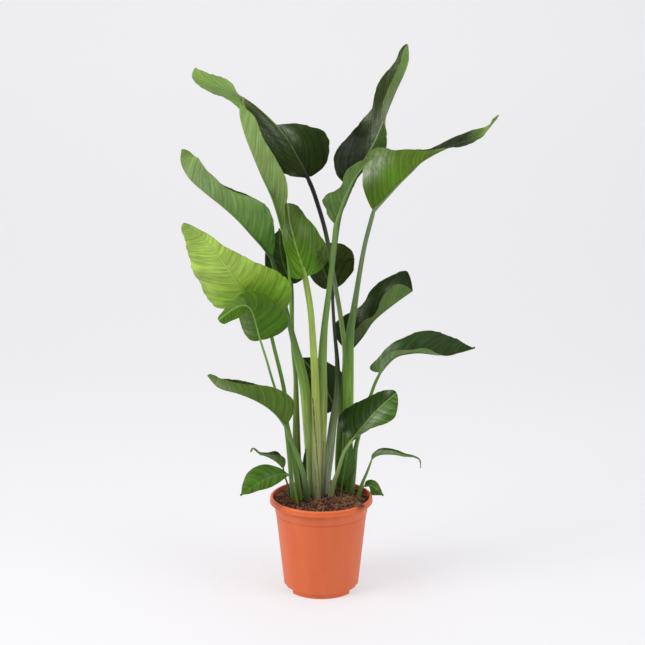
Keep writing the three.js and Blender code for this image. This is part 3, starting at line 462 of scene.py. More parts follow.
def linear(colour):
    """The linear red, green and blue of an sRGB hex colour."""
    shades = [int(colour[i : i + 2], 16) / 255 for i in (1, 3, 5)]
    return [s / 12.92 if s <= 0.04045 else ((s + 0.055) / 1.055) ** 2.4 for s in shades]


def rgba(colour):
    return (*linear(colour), 1)


def through(values, t, held=True):
    """A smooth run through evenly spaced values, or one value all the way, at places t from 0 to 1."""
    v = np.atleast_1d(np.asarray(values, float))
    if len(v) == 1:
        v = v.repeat(2, axis=0)
    first, last = (v[0], v[-1]) if held else (2 * v[0] - v[1], 2 * v[-1] - v[-2])
    v = np.concatenate([[first], v, [last]])
    place = np.clip(t, 0, 1) * (len(v) - 3)
    i = np.minimum(place.astype(int), len(v) - 4)
    f = (place - i).reshape(-1, *[1] * (v.ndim - 1))
    a, b, c, d = v[i], v[i + 1], v[i + 2], v[i + 3]
    return b + 0.5 * f * (c - a + f * (2 * a - 5 * b + 4 * c - d + f * (3 * (b - c) + d - a)))


def hues(colours, t):
    """The linear colours at places t along a leaf, from a line of hex colours."""
    return through([linear(colour) for colour in colours.split()], t)


def unit(vectors):
    return vectors / np.linalg.norm(vectors, axis=-1, keepdims=True)


class Path:
    """A smooth path through points, read by the share of its length."""

    def __init__(self, points):
        self.points = through(points, np.linspace(0, 1, 241), held=False)
        steps = np.linalg.norm(np.diff(self.points, axis=0), axis=1)
        self.run = np.concatenate([[0], np.cumsum(steps)])
        self.length = self.run[-1]

    def at(self, share):
        distance = np.clip(share, 0, 1) * self.length
        return np.stack([np.interp(distance, self.run, axis) for axis in self.points.T], axis=-1)

    def forward(self, share):
        return unit(self.at(share + 0.01) - self.at(share - 0.01))


def frames_on(path, faces, share):
    """Place, forward, up and right at places on a path, with up leaning to the given faces."""
    forward = path.forward(share)
    up = unit(faces - (faces * forward).sum(-1, keepdims=True) * forward)
    return path.at(share), forward, up, np.cross(forward, up)


def uneven(distance, seed):
    """A gentle random-looking swing between about -1 and 1 along a distance, whose period is near 1."""
    draw = random.Random(seed)
    swing = 0
    for period in (2.3, 1.31, 0.83, 0.57):
        swing = swing + 0.4 * np.sin(2 * math.pi * (distance / period + draw.random()))
    return swing


def rib_at(leaf, t):
    foot = leaf["girth"][-1] * RIB_SHARE
    return foot + (TIP_RIB - foot) * np.sqrt(t)


def half_blade(leaf, path, t, side, seed):
    """Rows from the rib out to the edge of one half: places, and distances from the rib."""
    k = 0 if side < 0 else 1
    at, forward, up, right = frames_on(path, through(leaf["face"], t, held=False), t)
    sweep = np.radians(through(leaf["sweep"], t))[:, None]
    out = side * right * np.cos(sweep) + forward * np.sin(sweep)
    foot = 1 - np.minimum(t / BASE_ROUNDING, 1)
    tip = 1 - np.minimum((1 - t) / TIP_ROUNDING, 1)
    rounding = np.sqrt((1 - foot**2) * (1 - tip**2))
    breadth = through(leaf["right" if k else "left"], t) * rounding
    wander = uneven(t * path.length / RAGGED_WIDTH, seed + 5 + k)
    breadth = breadth * (1 + leaf.get("ragged", RAGGED) * wander)
    width = np.maximum(breadth, rib_at(leaf, t) + LEAST_WIDTH)[:, None]
    lift = np.radians(through(leaf["lift"][k], t))[:, None]
    curl = np.radians(through(leaf.get("curl", (0, 0))[k], t))[:, None]
    height, waves, start = leaf["wave"]
    swing = np.sin(2 * math.pi * (waves * t + start + k * WAVE_OFFSET))[:, None]
    wave = height * np.minimum(1, width / WAVE_WIDTH) * swing
    along = (t * path.length)[:, None]
    rows, distances = [], []
    for share in np.linspace(0, 1, ACROSS + 1):
        distance = width * share
        bend = curl * share / 2
        reach = distance * np.sinc(bend / math.pi)
        slope = lift + curl * share
        normal = np.cos(slope) * up - np.sin(slope) * out
        near_edge = np.minimum(1, width / WAVE_WIDTH) * share**3
        pleat = PLEAT_HEIGHT * uneven((along - leaf["slant"] * distance) / PLEAT_WIDTH, seed + k)
        pleat = pleat * np.minimum(1, distance / PLEAT_START) * (1 - 0.5 * share)
        fold = leaf.get("ruffle", RUFFLE) * near_edge * uneven(along / RUFFLE_WIDTH, seed + 11 + k)
        offset = wave * share**2 + pleat + fold
        place = at + reach * (np.cos(lift + bend) * out + np.sin(lift + bend) * up)
        rows.append(place + offset * normal)
        distances.append(side * distance[:, 0])
    return np.stack(rows, axis=1), np.stack(distances, axis=1)


def deselect():
    bpy.ops.object.select_all(action="DESELECT")


def only(piece):
    deselect()
    piece.select_set(True)
    bpy.context.view_layer.objects.active = piece


def applied(piece, name, kind, **settings):
    """Gives a piece a modifier and applies it."""
    only(piece)
    modifier = piece.modifiers.new(name, kind)
    for key, value in settings.items():
        setattr(modifier, key, value)
    bpy.ops.object.modifier_apply(modifier=name)


def edit_all(piece):
    """Opens a piece for editing with all of it selected."""
    only(piece)
    bpy.ops.object.mode_set(mode="EDIT")
    bpy.ops.mesh.select_all(action="SELECT")


def sheet(name, columns, rows):
    """A flat grid of faces to be bent into shape, and each vertex's column and row."""
    deselect()
    bpy.ops.mesh.primitive_grid_add(x_subdivisions=columns, y_subdivisions=rows, calc_uvs=False)
    piece = bpy.context.object
    piece.name = piece.data.name = name
    flat = np.array([vertex.co for vertex in piece.data.vertices])
    column = np.rint((flat[:, 0] + 1) / 2 * columns).astype(int)
    row = np.rint((flat[:, 1] + 1) / 2 * rows).astype(int)
    return piece, column, row


def place(piece, millimetres):
    """Puts the vertices at places given in millimetres from the pot's axis."""
    world = np.asarray(millimetres) * MM + POT_AXIS
    piece.data.vertices.foreach_set("co", world.astype(np.float32).ravel())
    piece.data.update()


def chart(piece, across, along):
    """A UV map whose two numbers are distances on the surface, in metres."""
    layer = piece.data.uv_layers.new(name="surface")
    corners = np.array([loop.vertex_index for loop in piece.data.loops])
    layer.data.foreach_set("uv", (np.stack([across, along], -1)[corners] * MM).ravel())


def paint(piece, name, colours, rib=1):
    """Colours for each vertex, with the midrib's lightness as their fourth number."""
    layer = piece.data.color_attributes.new(name=name, type="FLOAT_COLOR", domain="POINT")
    full = np.concatenate([colours, np.full((len(colours), 1), rib)], axis=1)
    layer.data.foreach_set("color", full.ravel())


def with_painted_light(colours, patches, t, across, veins):
    """The colours of one face of a blade with its patches of painted sheen and painted shade, broken up
    by the veins.
    """
    for middle, aside, length, breadth, strength, *tint in patches:
        away = ((t - middle) / length) ** 2 + ((across - aside) / breadth) ** 2
        patchy = 0.75 + 0.35 * uneven(veins / SHEEN_STREAK, 40) + 0.2 * uneven(across / SHEEN_BLOTCH, 41)
        share = np.clip(strength * np.exp(-away) * patchy, 0, 1)[:, None]
        colours = colours * (1 - share) + np.array(linear(*tint or [PAINTED_SHEEN])) * share
    return colours


def blade_sheet(name, leaf, seed):
    """The leaf's blade: a bent sheet given its thickness, upper face and underside apart."""
    path = Path(leaf["rib"])
    rows = max(LEAST_ROWS, round(path.length / ROW_STEP))
    share = np.linspace(0, 1, rows + 1)
    crowded = share - ROW_CROWDING * np.sin(2 * math.pi * share)
    t = FIRST_ROW + (1 - FIRST_ROW) * crowded
    left, left_of = half_blade(leaf, path, t, -1, seed)
    right, right_of = half_blade(leaf, path, t, 1, seed)
    places = np.concatenate([left[:, :0:-1], right], axis=1)
    across = np.concatenate([left_of[:, :0:-1], right_of], axis=1)
    piece, column, row = sheet(name, 2 * ACROSS, rows)
    place(piece, places[row, column])
    width = np.abs(across[:, [0, -1]]).repeat((ACROSS, ACROSS + 1), axis=1)
    slanted = np.abs(across) * leaf["slant"] * (0.7 + 0.6 * np.abs(across) / width)
    veins = (t * path.length)[:, None] - slanted
    margins = width - np.abs(across)
    across, veins, margins = (values[row, column] for values in (across, veins, margins))
    chart(piece, across, veins)
    margin = piece.data.attributes.new(name="margin", type="FLOAT", domain="POINT")
    margin.data.foreach_set("value", margins)
    # Painted light and shade: one half of the upper face is lighter than the other, as the light falls
    painted_half_light = np.where(column < ACROSS, *leaf.get("halves", (1, 1)))[:, None]
    for face, light in (("upper", painted_half_light), ("under", 1)):
        colours = hues(leaf[face], t)[row] * light
        # Patches of painted light: pale ones are painted sheen, dark ones painted shade
        colours = with_painted_light(colours, leaf.get(face + "_wax", []), t[row], across, veins)
        paint(piece, face, colours, leaf.get("line", RIB_LIGHT))
        piece.data.materials.append(MATERIALS["leaf_" + face])
    thick = BLADE_THICKNESS * MM
    applied(piece, "thickness", "SOLIDIFY", thickness=thick, offset=0, material_offset=1)
    return piece


def stalk_frames(leaf, stalk, u):
    """Frames up a stalk, which face the front at its foot and as the blade does at its top."""
    top = unit(np.array(leaf["face"][0], float))
    lean = (u**2)[:, None]
    return frames_on(stalk, np.array([0, -1.0, 0]) * (1 - lean) + top * lean, u)


def tube(name, frames, wide, above, below, sides):
    """A tube along frames, with its half breadth, its height above and its depth below at each."""
    at, _, up, right = frames
    angle = -2 * math.pi * np.arange(sides + 1) / sides
    aside = wide[:, None] * np.cos(angle)
    raised = np.where(np.sin(angle) > 0, above[:, None], below[:, None]) * np.sin(angle)
    places = at[:, None] + right[:, None] * aside[..., None] + up[:, None] * raised[..., None]
    piece, column, row = sheet(name, sides, len(at) - 1)
    place(piece, places[row, column])
    return piece, column, row


def stalk_tube(name, leaf):
    """The stalk, and the rib that it goes on as under the blade."""
    stalk = Path(leaf["stalk"])
    rib = Path(leaf["rib"])
    up_rows = max(LEAST_STALK_ROWS, round(stalk.length / STALK_ROW))
    rib_rows = max(LEAST_STALK_ROWS, round(rib.length / STALK_ROW))
    u = np.linspace(0, 1, up_rows, endpoint=False)
    t = np.linspace(0, 1, rib_rows + 1)
    low = stalk_frames(leaf, stalk, u)
    high = frames_on(rib, through(leaf["face"], t, held=False), t)
    frames = [np.concatenate(pair) for pair in zip(low, high)]
    breadth = through(leaf["girth"], u)
    depth = breadth * through(STALK_DEPTH, u)
    size = rib_at(leaf, t)
    hump = size * np.maximum(0, 1 - t / HUMP_LENGTH) + HUMP_REST
    wide = np.concatenate([breadth, size])
    above = np.concatenate([depth, hump])
    below = np.concatenate([depth, size])
    along = np.concatenate([u * stalk.length, stalk.length + t * rib.length])
    piece, column, row = tube(name, frames, wide, above, below, STALK_SIDES)
    chart(piece, wide.mean() * -2 * math.pi * column / STALK_SIDES, along[row])
    shades = hues(leaf["skin"], np.minimum(1, along / stalk.length))
    # Under the blade the stalk's colour goes over to the underside's, a little lighter
    past = np.clip((along - stalk.length) / rib.length, 0, 1)
    under = hues(leaf["under"], past)
    share = np.minimum(1, 2 * past)[:, None]
    shades = shades * (1 - share) + np.maximum(0.75 * shades + 0.45 * under, 1.15 * under) * share
    paint(piece, "stalk", shades[row])
    piece.data.materials.append(MATERIALS["leaf_stalk"])
    edit_all(piece)
    bpy.ops.mesh.remove_doubles(threshold=1e-6)
    bpy.ops.mesh.fill_holes(sides=0)
    bpy.ops.object.mode_set(mode="OBJECT")
    return piece


def joined(name, pieces):
    deselect()
    for piece in pieces:
        piece.select_set(True)
    bpy.context.view_layer.objects.active = pieces[0]
    bpy.ops.object.join()
    made = bpy.context.object
    made.name = made.data.name = name
    return made


def finish_off(piece, slot, *nodes, angle=50, material=None):
    """Material and smooth shading, the body that carries the piece, and the solids it stands for."""
    if material:
        piece.data.materials.append(MATERIALS[material])
    only(piece)
    bpy.ops.object.shade_smooth_by_angle(angle=math.radians(angle))
    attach(piece, BODY)
    if nodes:
        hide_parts(*nodes)


def grown_leaf(node, seed):
    stalk = stalk_tube(node + "_stalk", LEAVES[node])
    blade = blade_sheet(node + "_blade", LEAVES[node], seed)
    finish_off(joined(node + "_grown", [blade, stalk]), "leaf", node)


def arc(middle_r, middle_z, radius, start, end, steps):
    """Points on an arc of the pot's section, from one angle to another in degrees."""
    turns = np.radians(np.linspace(start, end, steps))
    return [(middle_r + radius * math.cos(a), middle_z + radius * math.sin(a)) for a in turns]


def spun(name, section, steps):
    """A closed section of [radius, height] points, spun round the pot's axis."""
    deselect()
    bpy.ops.mesh.primitive_circle_add(vertices=len(section), radius=1)
    piece = bpy.context.object
    piece.name = piece.data.name = name
    place(piece, [(radius, 0, height) for radius, height in section])
    edit_all(piece)
    bpy.ops.mesh.spin(steps=steps, angle=2 * math.pi, center=tuple(POT_AXIS), axis=(0, 0, 1))
    bpy.ops.mesh.select_all(action="SELECT")
    bpy.ops.mesh.remove_doubles(threshold=2e-6)
    bpy.ops.mesh.dissolve_degenerate(threshold=1e-7)
    bpy.ops.mesh.select_all(action="SELECT")
    bpy.ops.mesh.normals_make_consistent(inside=False)
    bpy.ops.object.mode_set(mode="OBJECT")
    return piece


def wall_at(height):
    share = (height - CORNER_HEIGHT) / (POT_HEIGHT - RIM_DEPTH - CORNER_HEIGHT)
    return CORNER_RADIUS + (WALL_TOP_RADIUS - CORNER_RADIUS) * share


def moulded_pot():
    lip = POT_HEIGHT - RIM_DEPTH
    ring = FOOT_RADIUS - FOOT_RING
    band = wall_at(BAND_HEIGHT)
    groove = band - BAND_STEP
    skirt = RIM_RADIUS - RIM_SKIRT
    ledge = POT_HEIGHT - RIM_TOP
    inner = RIM_INNER_RADIUS
    soft = EDGE_ROUNDING
    section = [
        (0.01, FLOOR_HEIGHT),
        (ring - 2, FLOOR_HEIGHT),
        (ring, FLOOR_HEIGHT - 2),
        (ring, soft),
        (ring + soft, 0),
        (FOOT_RADIUS - soft, 0),
        *arc(FOOT_RADIUS - soft, soft, soft, -60, 0, 4),
        (FOOT_RADIUS + 0.5, CORNER_HEIGHT - 2.8),
        (FOOT_RADIUS + 1.6, CORNER_HEIGHT - 1.4),
        (CORNER_RADIUS - 2.6, CORNER_HEIGHT - 0.9),
        *arc(CORNER_RADIUS - 2.4, CORNER_HEIGHT + 1.8, 2.6, -75, 0, 6),
        (wall_at(BAND_HEIGHT - 20) - BAND_STEP, BAND_HEIGHT - 20),
        (groove, BAND_HEIGHT - 2.6),
        (groove - soft, BAND_HEIGHT - 1.8),
        (groove - soft, BAND_HEIGHT - 0.6),
        (band - 0.3, BAND_HEIGHT - 0.1),
        (band, BAND_HEIGHT + 0.5),
        (wall_at(lip - 2), lip - 2),
        (wall_at(lip), lip),
        (inner + 0.8, ledge - 0.5),
        (inner + 1.5, ledge),
        (skirt - 0.9, ledge),
        (skirt - 0.2, ledge - 0.6),
        (skirt, lip + 0.5),
        (skirt + 0.5, lip),
        *arc(RIM_RADIUS - soft, lip + soft, soft, -85, 50, 6),
        (RIM_RADIUS - 1, lip + 4),
        *arc(RIM_RADIUS - 6, POT_HEIGHT - 5, 5, 0, 80, 9),
        (inner + 2.6, POT_HEIGHT),
        *arc(inner + 2.4, POT_HEIGHT - 2.4, 2.4, 100, 180, 6),
        (inner - 0.3, POT_HEIGHT - 5),
        (wall_at(lip) - WALL, lip),
        (CORNER_RADIUS - WALL - 0.4, FLOOR_HEIGHT + WALL + 2),
        (CORNER_RADIUS - WALL - 2.5, FLOOR_HEIGHT + WALL),
        (0.01, FLOOR_HEIGHT + WALL),
    ]
    pot = spun("moulded_pot", section, POT_STEPS)
    gap_start = math.sqrt(ring**2 - (GAP_WIDTH / 2) ** 2) - 4
    for angle in DRAIN_ANGLES:
        cut_drain(pot, math.radians(angle), gap_start, GAP_WIDTH, FLOOR_HEIGHT, GAP_CORNER)
        cut_drain(pot, math.radians(angle), ring + 2, DRAIN_WIDTH, DRAIN_TOP, DRAIN_CORNER)
    finish_off(pot, "pot", "pot", angle=32, material="pot_plastic")


def cut_drain(pot, angle, start, width, top, corner):
    """Cuts an opening from a radius outwards, through the foot ring or the wall's lower corner."""
    depth = CORNER_RADIUS + 8 - start
    deselect()
    bpy.ops.mesh.primitive_cube_add(size=1)
    slot = bpy.context.object
    size = Matrix.Diagonal((width * MM, depth * MM, (top + 2) * MM, 1))
    shift = Matrix.Translation((0, -(start + depth / 2) * MM, (top / 2 - 1) * MM))
    slot.data.transform(Matrix.Translation(POT_AXIS) @ Matrix.Rotation(angle, 4, "Z") @ shift @ size)
    applied(slot, "corners", "BEVEL", width=corner * MM, segments=3)
    applied(pot, "drain", "BOOLEAN", operation="DIFFERENCE", solver="EXACT", object=slot)
    bpy.data.objects.remove(slot)


def soil_top(x, y):
    """Height of the soil's top in millimetres, as in the solid."""
    heap = SOIL_HEAP * (1 - np.hypot(x, y) ** 2 / RIM_INNER_RADIUS**2)
    lumps = np.sin(x / 9 + 1.3) * np.cos(y / 11) + 0.6 * np.sin(x / 5.3 + y / 7.1)
    return SOIL_LEVEL + heap + SOIL_BUMP * lumps


def soil_grain(x, y):
    """Small clods on the soil's top, in millimetres."""
    coarse = uneven(x / 7 + 0.4 * np.sin(y / 5), 3) * uneven(y / 6 + 0.5 * np.sin(x / 4), 4)
    fine = uneven(x / 2.9 + 0.6 * np.sin(y / 2), 5) * uneven(y / 2.6, 6)
    return 1.7 * coarse + 0.9 * fine


def soil_bed():
    floor = FLOOR_HEIGHT + WALL + 0.3
    clear = WALL + SOIL_GAP
    shoulder = SOIL_LEVEL - SOIL_SHOULDER
    edge = wall_at(shoulder) - clear
    top = [(radius, SOIL_LEVEL) for radius in np.linspace(edge - 1, 0.01, SOIL_RINGS)]
    section = [(0.01, floor), (wall_at(floor) - clear, floor), (edge, shoulder), *top]
    soil = spun("soil_bed", section, SOIL_STEPS)
    x, y, z = ((np.array([vertex.co for vertex in soil.data.vertices]) - POT_AXIS) / MM).T
    lifted = soil_top(x, y) + soil_grain(x, y)
    place(soil, np.stack([x, y, np.where(z > SOIL_LEVEL - 2, lifted, z)], axis=-1))
    finish_off(soil, "soil", "soil", angle=60, material="soil_peat")


def scattered(name, pattern, places):
    """One piece made of copies of a small shape, each put down by its matrix."""
    copies = []
    for spot in places:
        copy = bpy.data.objects.new(name, pattern.data.copy())
        copy.data.transform(spot)
        bpy.context.collection.objects.link(copy)
        copies.append(copy)
    bpy.data.objects.remove(pattern)
    return joined(name, copies)


def bark_chips():
    """Crumbs of bark and peat that lie on the soil."""
    draw = random.Random(11)
    deselect()
    bpy.ops.mesh.primitive_ico_sphere_add(subdivisions=1, radius=1)
    crumb = bpy.context.object
    for vertex in crumb.data.vertices:
        vertex.co *= draw.uniform(0.7, 1.15)
    places = []
    for _ in range(CHIPS):
        radius = LOOSE_REACH * math.sqrt(draw.random())
        turn = draw.uniform(0, 2 * math.pi)
        x, y = radius * math.cos(turn), radius * math.sin(turn)
        height = soil_top(x, y) + draw.uniform(0, 1.6)
        size = draw.uniform(*(SMALL_CHIP if draw.random() < SMALL_SHARE else LARGE_CHIP))
        shape = Matrix.Diagonal((size, size * draw.uniform(0.5, 1), size * draw.uniform(0.3, 0.8), 1))
        nod = Matrix.Rotation(draw.uniform(-CHIP_TILT, CHIP_TILT), 4, "X")
        roll = Matrix.Rotation(draw.uniform(-CHIP_TILT, CHIP_TILT), 4, "Y")
        spin = Matrix.Rotation(turn * 7, 4, "Z")
        spot = Matrix.Translation(Vector(POT_AXIS) + Vector((x, y, height)) * MM)
        places.append(spot @ spin @ nod @ roll @ Matrix.Scale(MM, 4) @ shape)
    finish_off(scattered("bark_chips", crumb, places), "soil", angle=30, material="bark_chip")


def fibre(name, draw, x, y, length, heading, hump, girth, limit=LOOSE_REACH):
    """A curled fibre with its middle at a place, on the soil or past it on the pot's lip."""
    swerve = draw.uniform(-1.6, 1.6)
    points = []
    for step in np.linspace(0, 1, 7):
        px = x + length * (step - 0.5) * math.cos(heading + swerve * (step - 0.5))
        py = y + length * (step - 0.5) * math.sin(heading + swerve * (step - 0.5))
        inside = min(1, limit / math.hypot(px, py))
        px, py = px * inside, py * inside
        reach = math.hypot(px, py)
        low = soil_top(px, py) + 0.6
        if reach > LOOSE_REACH:
            low = POT_HEIGHT + 0.6 - 0.8 * max(0, reach - LIP_BEND)
        points.append((px, py, low + hump * math.sin(math.pi * step)))
    return thin_strand(name, points, girth, FIBRE_ROWS, FIBRE_SIDES)


def root_fibres():
    """Loose root and coir fibres, curled over the soil, thickest at the front right, and a tuft
    that hangs over the pot's lip there."""
    draw = random.Random(23)
    pieces = []
    for i in range(FIBRES):
        radius = FIBRE_REACH * math.sqrt(draw.random())
        turn = draw.uniform(0, 2 * math.pi)
        if i % 3 == 0:
            radius, turn = draw.uniform(*FRONT_RADII), math.radians(draw.uniform(*FRONT_ANGLES))
        x, y = radius * math.cos(turn), radius * math.sin(turn)
        length, hump = draw.uniform(10, 36), draw.uniform(0.5, 6)
        heading = draw.uniform(0, 2 * math.pi)
        girth = draw.uniform(0.35, 0.9)
        pieces.append(fibre(f"fibre_{i}", draw, x, y, length, heading, hump, girth))
    for i in range(CLOD_FIBRES):
        x, y = draw.gauss(*CLOD[0]), draw.gauss(*CLOD[1])
        heading = draw.uniform(-1.2, 0.6)
        length, hump = draw.uniform(12, 30), draw.uniform(2, 8)
        pieces.append(fibre(f"clod_{i}", draw, x, y, length, heading, hump, draw.uniform(0.4, 0.8)))
    for i in range(TUFT_FIBRES):
        x, y = draw.gauss(*TUFT[0]), draw.gauss(*TUFT[1])
        heading = draw.uniform(-1.7, 0.4)
        length, hump = draw.uniform(14, 30), draw.uniform(1, 4)
        drooping = fibre(f"tuft_{i}", draw, x, y, length, heading, hump, TUFT_GIRTH, TUFT_REACH)
        pieces.append(drooping)
    finish_off(joined("root_fibres", pieces), "soil", angle=80, material="root_fibre")


def thin_strand(name, points, girth, rows, sides, faces=(0.05, 0.1, 1), flat=1):
    """A strand that tapers along its points; a flat one is broad across the way that it faces."""
    share = np.linspace(0, 1, rows + 1)
    frames = frames_on(Path(points), np.array(faces, float), share)
    size = girth * (1 - 0.6 * share)
    return tube(name, frames, size, flat * size, flat * size, sides)[0]


def dry_edges():
    """The dry brown margins of the sheaths, where one stalk comes out of another."""
    pieces = []
    for number, (node, girth, course) in enumerate(DRY_EDGES):
        leaf = LEAVES[node]
        share, turn = np.array(course).T
        at, _, up, right = stalk_frames(leaf, Path(leaf["stalk"]), share)
        wide = through(leaf["girth"], share)
        deep = wide * through(STALK_DEPTH, share)
        aside = (wide * np.cos(np.radians(turn)))[:, None]
        out = (deep * np.sin(np.radians(turn)))[:, None]
        points = at + right * aside + up * out
        edge = (f"edge_{number}", points, girth, EDGE_ROWS, EDGE_SIDES, (0, -1, 0.1), EDGE_FLATNESS)
        pieces.append(thin_strand(*edge))
    finish_off(joined("dry_edges", pieces), "leaf", angle=80, material="dry_sheath")


def add(material, kind, inputs=(), output=0, **settings):
    """Adds a shader node with its settings and its inputs, and returns the output that is used."""
    made = material.node_tree.nodes.new("ShaderNode" + kind)
    for key, value in settings.items():
        setattr(made, key, value)
    for socket, value in dict(inputs).items():
        if isinstance(value, bpy.types.NodeSocket):
            material.node_tree.links.new(value, made.inputs[socket])
        else:
            made.inputs[socket].default_value = value
    return made.outputs[output]


def new_material(name, **constants):
    """A material whose shader already holds what is the same all over the surface."""
    material = MATERIALS[name] = bpy.data.materials.new(name)
    material.use_nodes = True
    shader = material.node_tree.nodes["Principled BSDF"]
    for socket, value in constants.items():
        shader.inputs[socket.replace("_", " ")].default_value = value
    return material


def feed(material, **sockets):
    """Links what changes over the surface to the material's shader."""
    shader = material.node_tree.nodes["Principled BSDF"]
    for socket, value in sockets.items():
        material.node_tree.links.new(value, shader.inputs[socket.replace("_", " ")])


def ramp(material, value, low, high, to_low=0.0, to_high=1.0, **settings):
    """Turns a value between two limits into one between two others."""
    limits = {"Value": value, "From Min": low, "From Max": high, "To Min": to_low, "To Max": to_high}
    return add(material, "MapRange", limits, **settings)


def noise(material, where, size, detail, roughness=0.5):
    """Cloudy noise whose larger patches are about as wide as the given size in metres."""
    inputs = {"Vector": where, "Scale": 1 / size, "Detail": detail, "Roughness": roughness}
    return add(material, "TexNoise", inputs)


def blend(material, share, first, second):
    inputs = {MIX_FACTOR: share, MIX_FIRST: first, MIX_SECOND: second}
    return add(material, "Mix", inputs, output=MIX_RESULT, data_type="RGBA")


def on_object(material):
    """The place on the surface, in the object's own metres."""
    return add(material, "TexCoord", output=3)


def bump(material, height, strength, distance):
    return add(material, "Bump", {"Strength": strength, "Distance": distance, "Height": height})


def leaf_face(name, colours, rough, gloss, streak):
    """The waxy skin of a blade. Its veins lie about 7 mm apart, with finer ones between, and show
    as lighter and darker lines; the rib is a pale line, and the edge a thin dry one."""
    skin = new_material(name, IOR=1.42, Specular_IOR_Level=gloss)
    base = add(skin, "Attribute", attribute_name=colours)
    surface = add(skin, "UVMap", uv_map="surface")
    aside, along = add(skin, "SeparateXYZ", {0: surface}).node.outputs[:2]
    across = add(skin, "Math", {0: aside}, operation="ABSOLUTE")
    stretched = add(skin, "Math", {0: aside, 1: 0.06}, operation="MULTIPLY")
    on_veins = add(skin, "CombineXYZ", {0: along, 1: stretched})
    broad = noise(skin, on_veins, 0.0085, 2.0)
    fine = noise(skin, on_veins, 0.0024, 1.0)
    cloud = noise(skin, on_object(skin), 0.045, 3.0)
    both = add(skin, "Math", {0: broad, 1: fine}, operation="ADD")
    light = ramp(skin, both, 0.8, 1.24, 1 - streak, 1 + 1.5 * streak)
    patch = ramp(skin, cloud, *MIDDLE, 0.86, 1.14)
    shade = add(skin, "Math", {0: light, 1: patch}, operation="MULTIPLY")
    veined = add(skin, "VectorMath", {0: base, 3: shade}, operation="SCALE")
    rib_light = base.node.outputs["Alpha"]
    tinted = add(skin, "VectorMath", {0: veined, 3: rib_light}, operation="SCALE")
    pale = ramp(skin, rib_light, 1.0, 2.2, 0.0, 0.5)
    rib_line = blend(skin, pale, tinted, rgba("#8b9c68"))
    near_rib = ramp(skin, across, 0.0009, 0.0028, 1.0, 0.0, interpolation_type="SMOOTHSTEP")
    ribbed = blend(skin, near_rib, veined, rib_line)
    margin = add(skin, "Attribute", output=2, attribute_name="margin")
    near_edge = ramp(skin, margin, 0.3, 1.3, 0.55, 0.0)
    edged = blend(skin, near_edge, ribbed, rgba("#7c7a44"))
    roughness = ramp(skin, cloud, *MIDDLE, rough - 0.05, rough + 0.07)
    raised = bump(skin, both, 0.7, 0.0008)
    feed(skin, Base_Color=edged, Roughness=roughness, Normal=raised)


def leaf_stalk():
    """The skin of a stalk, with fine ribs that run up it and a few brown flecks."""
    skin = new_material("leaf_stalk", IOR=1.45, Coat_Weight=0.1, Coat_Roughness=0.3)
    base = add(skin, "Attribute", attribute_name="stalk")
    surface = add(skin, "UVMap", uv_map="surface")
    lines = add(skin, "Mapping", {"Vector": surface, "Scale": (1, 0.03, 1)})
    ribs = noise(skin, lines, 0.0024, 3.0)
    cloud = noise(skin, on_object(skin), 0.03, 4.0)
    light = ramp(skin, ribs, *MIDDLE, 0.72, 1.28)
    lined = add(skin, "VectorMath", {0: base, 3: light}, operation="SCALE")
    dots = add(skin, "Mapping", {"Vector": surface, "Scale": (1, 0.25, 1)})
    speck = noise(skin, dots, 0.004, 2.0)
    fleck = ramp(skin, speck, 0.68, 0.76, 0.0, 0.7)
    flecked = blend(skin, fleck, lined, rgba("#6a5230"))
    roughness = ramp(skin, cloud, *MIDDLE, 0.36, 0.5)
    raised = bump(skin, ribs, 0.4, 0.0005)
    feed(skin, Base_Color=flecked, Roughness=roughness, Normal=raised)


def pot_plastic():
    """Injection-moulded polypropylene in a terracotta orange: an even satin skin with faint flow
    marks up the wall, a slight grain, and a little dust in scattered patches."""
    plastic = new_material("pot_plastic", IOR=1.49)
    where = on_object(plastic)
    upright = add(plastic, "Mapping", {"Vector": where, "Scale": (1, 1, 0.12)})
    flow = noise(plastic, upright, 0.03, 2.0)
    grain = noise(plastic, where, 0.0009, 1.0)
    dust = noise(plastic, where, 0.006, 5.0, 0.7)
    flowing = ramp(plastic, flow, *MIDDLE)
    orange = blend(plastic, flowing, rgba("#e06430"), rgba("#e36d38"))
    dusty = ramp(plastic, dust, 0.62, 0.8, 0.0, 0.25)
    worn = blend(plastic, dusty, orange, rgba("#c98b6c"))
    roughness = ramp(plastic, flow, *MIDDLE, 0.4, 0.48)
    raised = bump(plastic, grain, 0.12, 0.0002)
    feed(plastic, Base_Color=worn, Roughness=roughness, Normal=raised)


def crumbly(name, dark, pale, grain, rough):
    """Peat, bark or fibre: a dull surface mottled from dark to pale by the size of its grains."""
    matter = new_material(name, IOR=1.4)
    mottle = noise(matter, on_object(matter), grain, 4.0, 0.7)
    spread = ramp(matter, mottle, 0.35, 0.68)
    mixed = blend(matter, spread, rgba(dark), rgba(pale))
    roughness = ramp(matter, mottle, *MIDDLE, rough - 0.1, rough)
    raised = bump(matter, mottle, 0.6, 0.001)
    feed(matter, Base_Color=mixed, Roughness=roughness, Normal=raised)


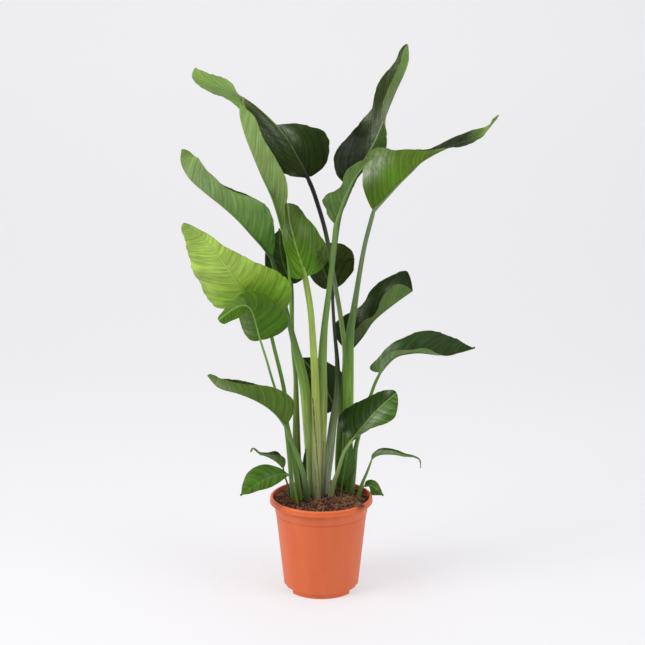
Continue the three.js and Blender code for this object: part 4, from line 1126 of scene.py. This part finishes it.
def studio():
    """A pale floor that sweeps up behind the plant, soft lights and a bright room."""
    glow = {"Emission_Color": rgba("#f1f0f2"), "Emission_Strength": 0.66}
    paper = new_material("backdrop_paper", Base_Color=rgba("#989799"), Roughness=0.9, **glow)
    deselect()
    bpy.ops.mesh.primitive_plane_add(size=9, location=(0, -1.5, 0))
    floor = bpy.context.object
    floor.name = "floor"
    bpy.ops.object.mode_set(mode="EDIT")
    bpy.ops.mesh.select_all(action="DESELECT")
    bpy.ops.object.mode_set(mode="OBJECT")
    for edge in floor.data.edges:
        edge.select = all(floor.data.vertices[v].co.y > 0 for v in edge.vertices)
    bpy.ops.object.mode_set(mode="EDIT")
    bpy.ops.mesh.select_mode(type="EDGE")
    bpy.ops.mesh.extrude_region_move(TRANSFORM_OT_translate={"value": (0, 0, 5)})
    bpy.ops.object.mode_set(mode="OBJECT")
    applied(floor, "sweep", "BEVEL", width=1.2, segments=16, limit_method="ANGLE")
    bpy.ops.object.shade_smooth()
    bpy.ops.object.transform_apply(location=True, rotation=True, scale=True)
    floor.data.materials.append(paper)
    softbox("left_softbox", (-2.5, -1.4, 2.6), 1.9, 86)
    softbox("right_softbox", (2.5, -1.5, 2.0), 1.7, 36)
    softbox("top_softbox", (0, -0.4, 3.6), 1.8, 36)
    world = bpy.data.worlds.new("bright_room")
    bpy.context.scene.world = world
    world.use_nodes = True
    light = world.node_tree.nodes["Background"].inputs
    light["Color"].default_value = rgba("#f4f4f8")
    light["Strength"].default_value = 0.2


def softbox(name, where, size, power):
    """A square soft light that looks at the middle of the plant."""
    deselect()
    bpy.ops.object.light_add(type="AREA", location=where)
    light = bpy.context.object
    light.name = name
    light.data.size = size
    light.data.energy = power
    middle = Vector((0, 0, 0.6))
    light.rotation_euler = (middle - Vector(where)).to_track_quat("-Z", "Y").to_euler()


def camera():
    deselect()
    where = Vector(CAMERA_FROM_POT) + Vector(POT_AXIS)
    bpy.ops.object.camera_add(location=where, rotation=(math.radians(90 - CAMERA_PITCH), 0, 0))
    eye = bpy.context.object
    eye.data.sensor_width = CAMERA_SENSOR
    eye.data.lens = CAMERA_LENS
    bpy.context.scene.camera = eye


leaf_face("leaf_upper", "upper", 0.36, 0.16, 0.38)
leaf_face("leaf_under", "under", 0.5, 0.25, 0.23)
leaf_stalk()
pot_plastic()
# Moist peat: nearly black, with brown crumbs
crumbly("soil_peat", "#140a06", "#4e2e20", 0.004, 0.95)
# Bark: reddish brown bits that catch the light against the peat
crumbly("bark_chip", "#381c12", "#a0684a", 0.009, 0.9)
# Dried sheath: straw yellow going to olive
crumbly("dry_sheath", "#5a4e22", "#94864a", 0.012, 0.8)
# Coir: tan threads, browner where they are old
crumbly("root_fibre", "#5c3c2a", "#ac8260", 0.02, 0.85)

camera()
studio()
moulded_pot()
soil_bed()
bark_chips()
root_fibres()
dry_edges()
for number, leaf_node in enumerate(LEAVES):
    grown_leaf(leaf_node, number * 100)

bpy.context.scene.view_settings.view_transform = "Standard"
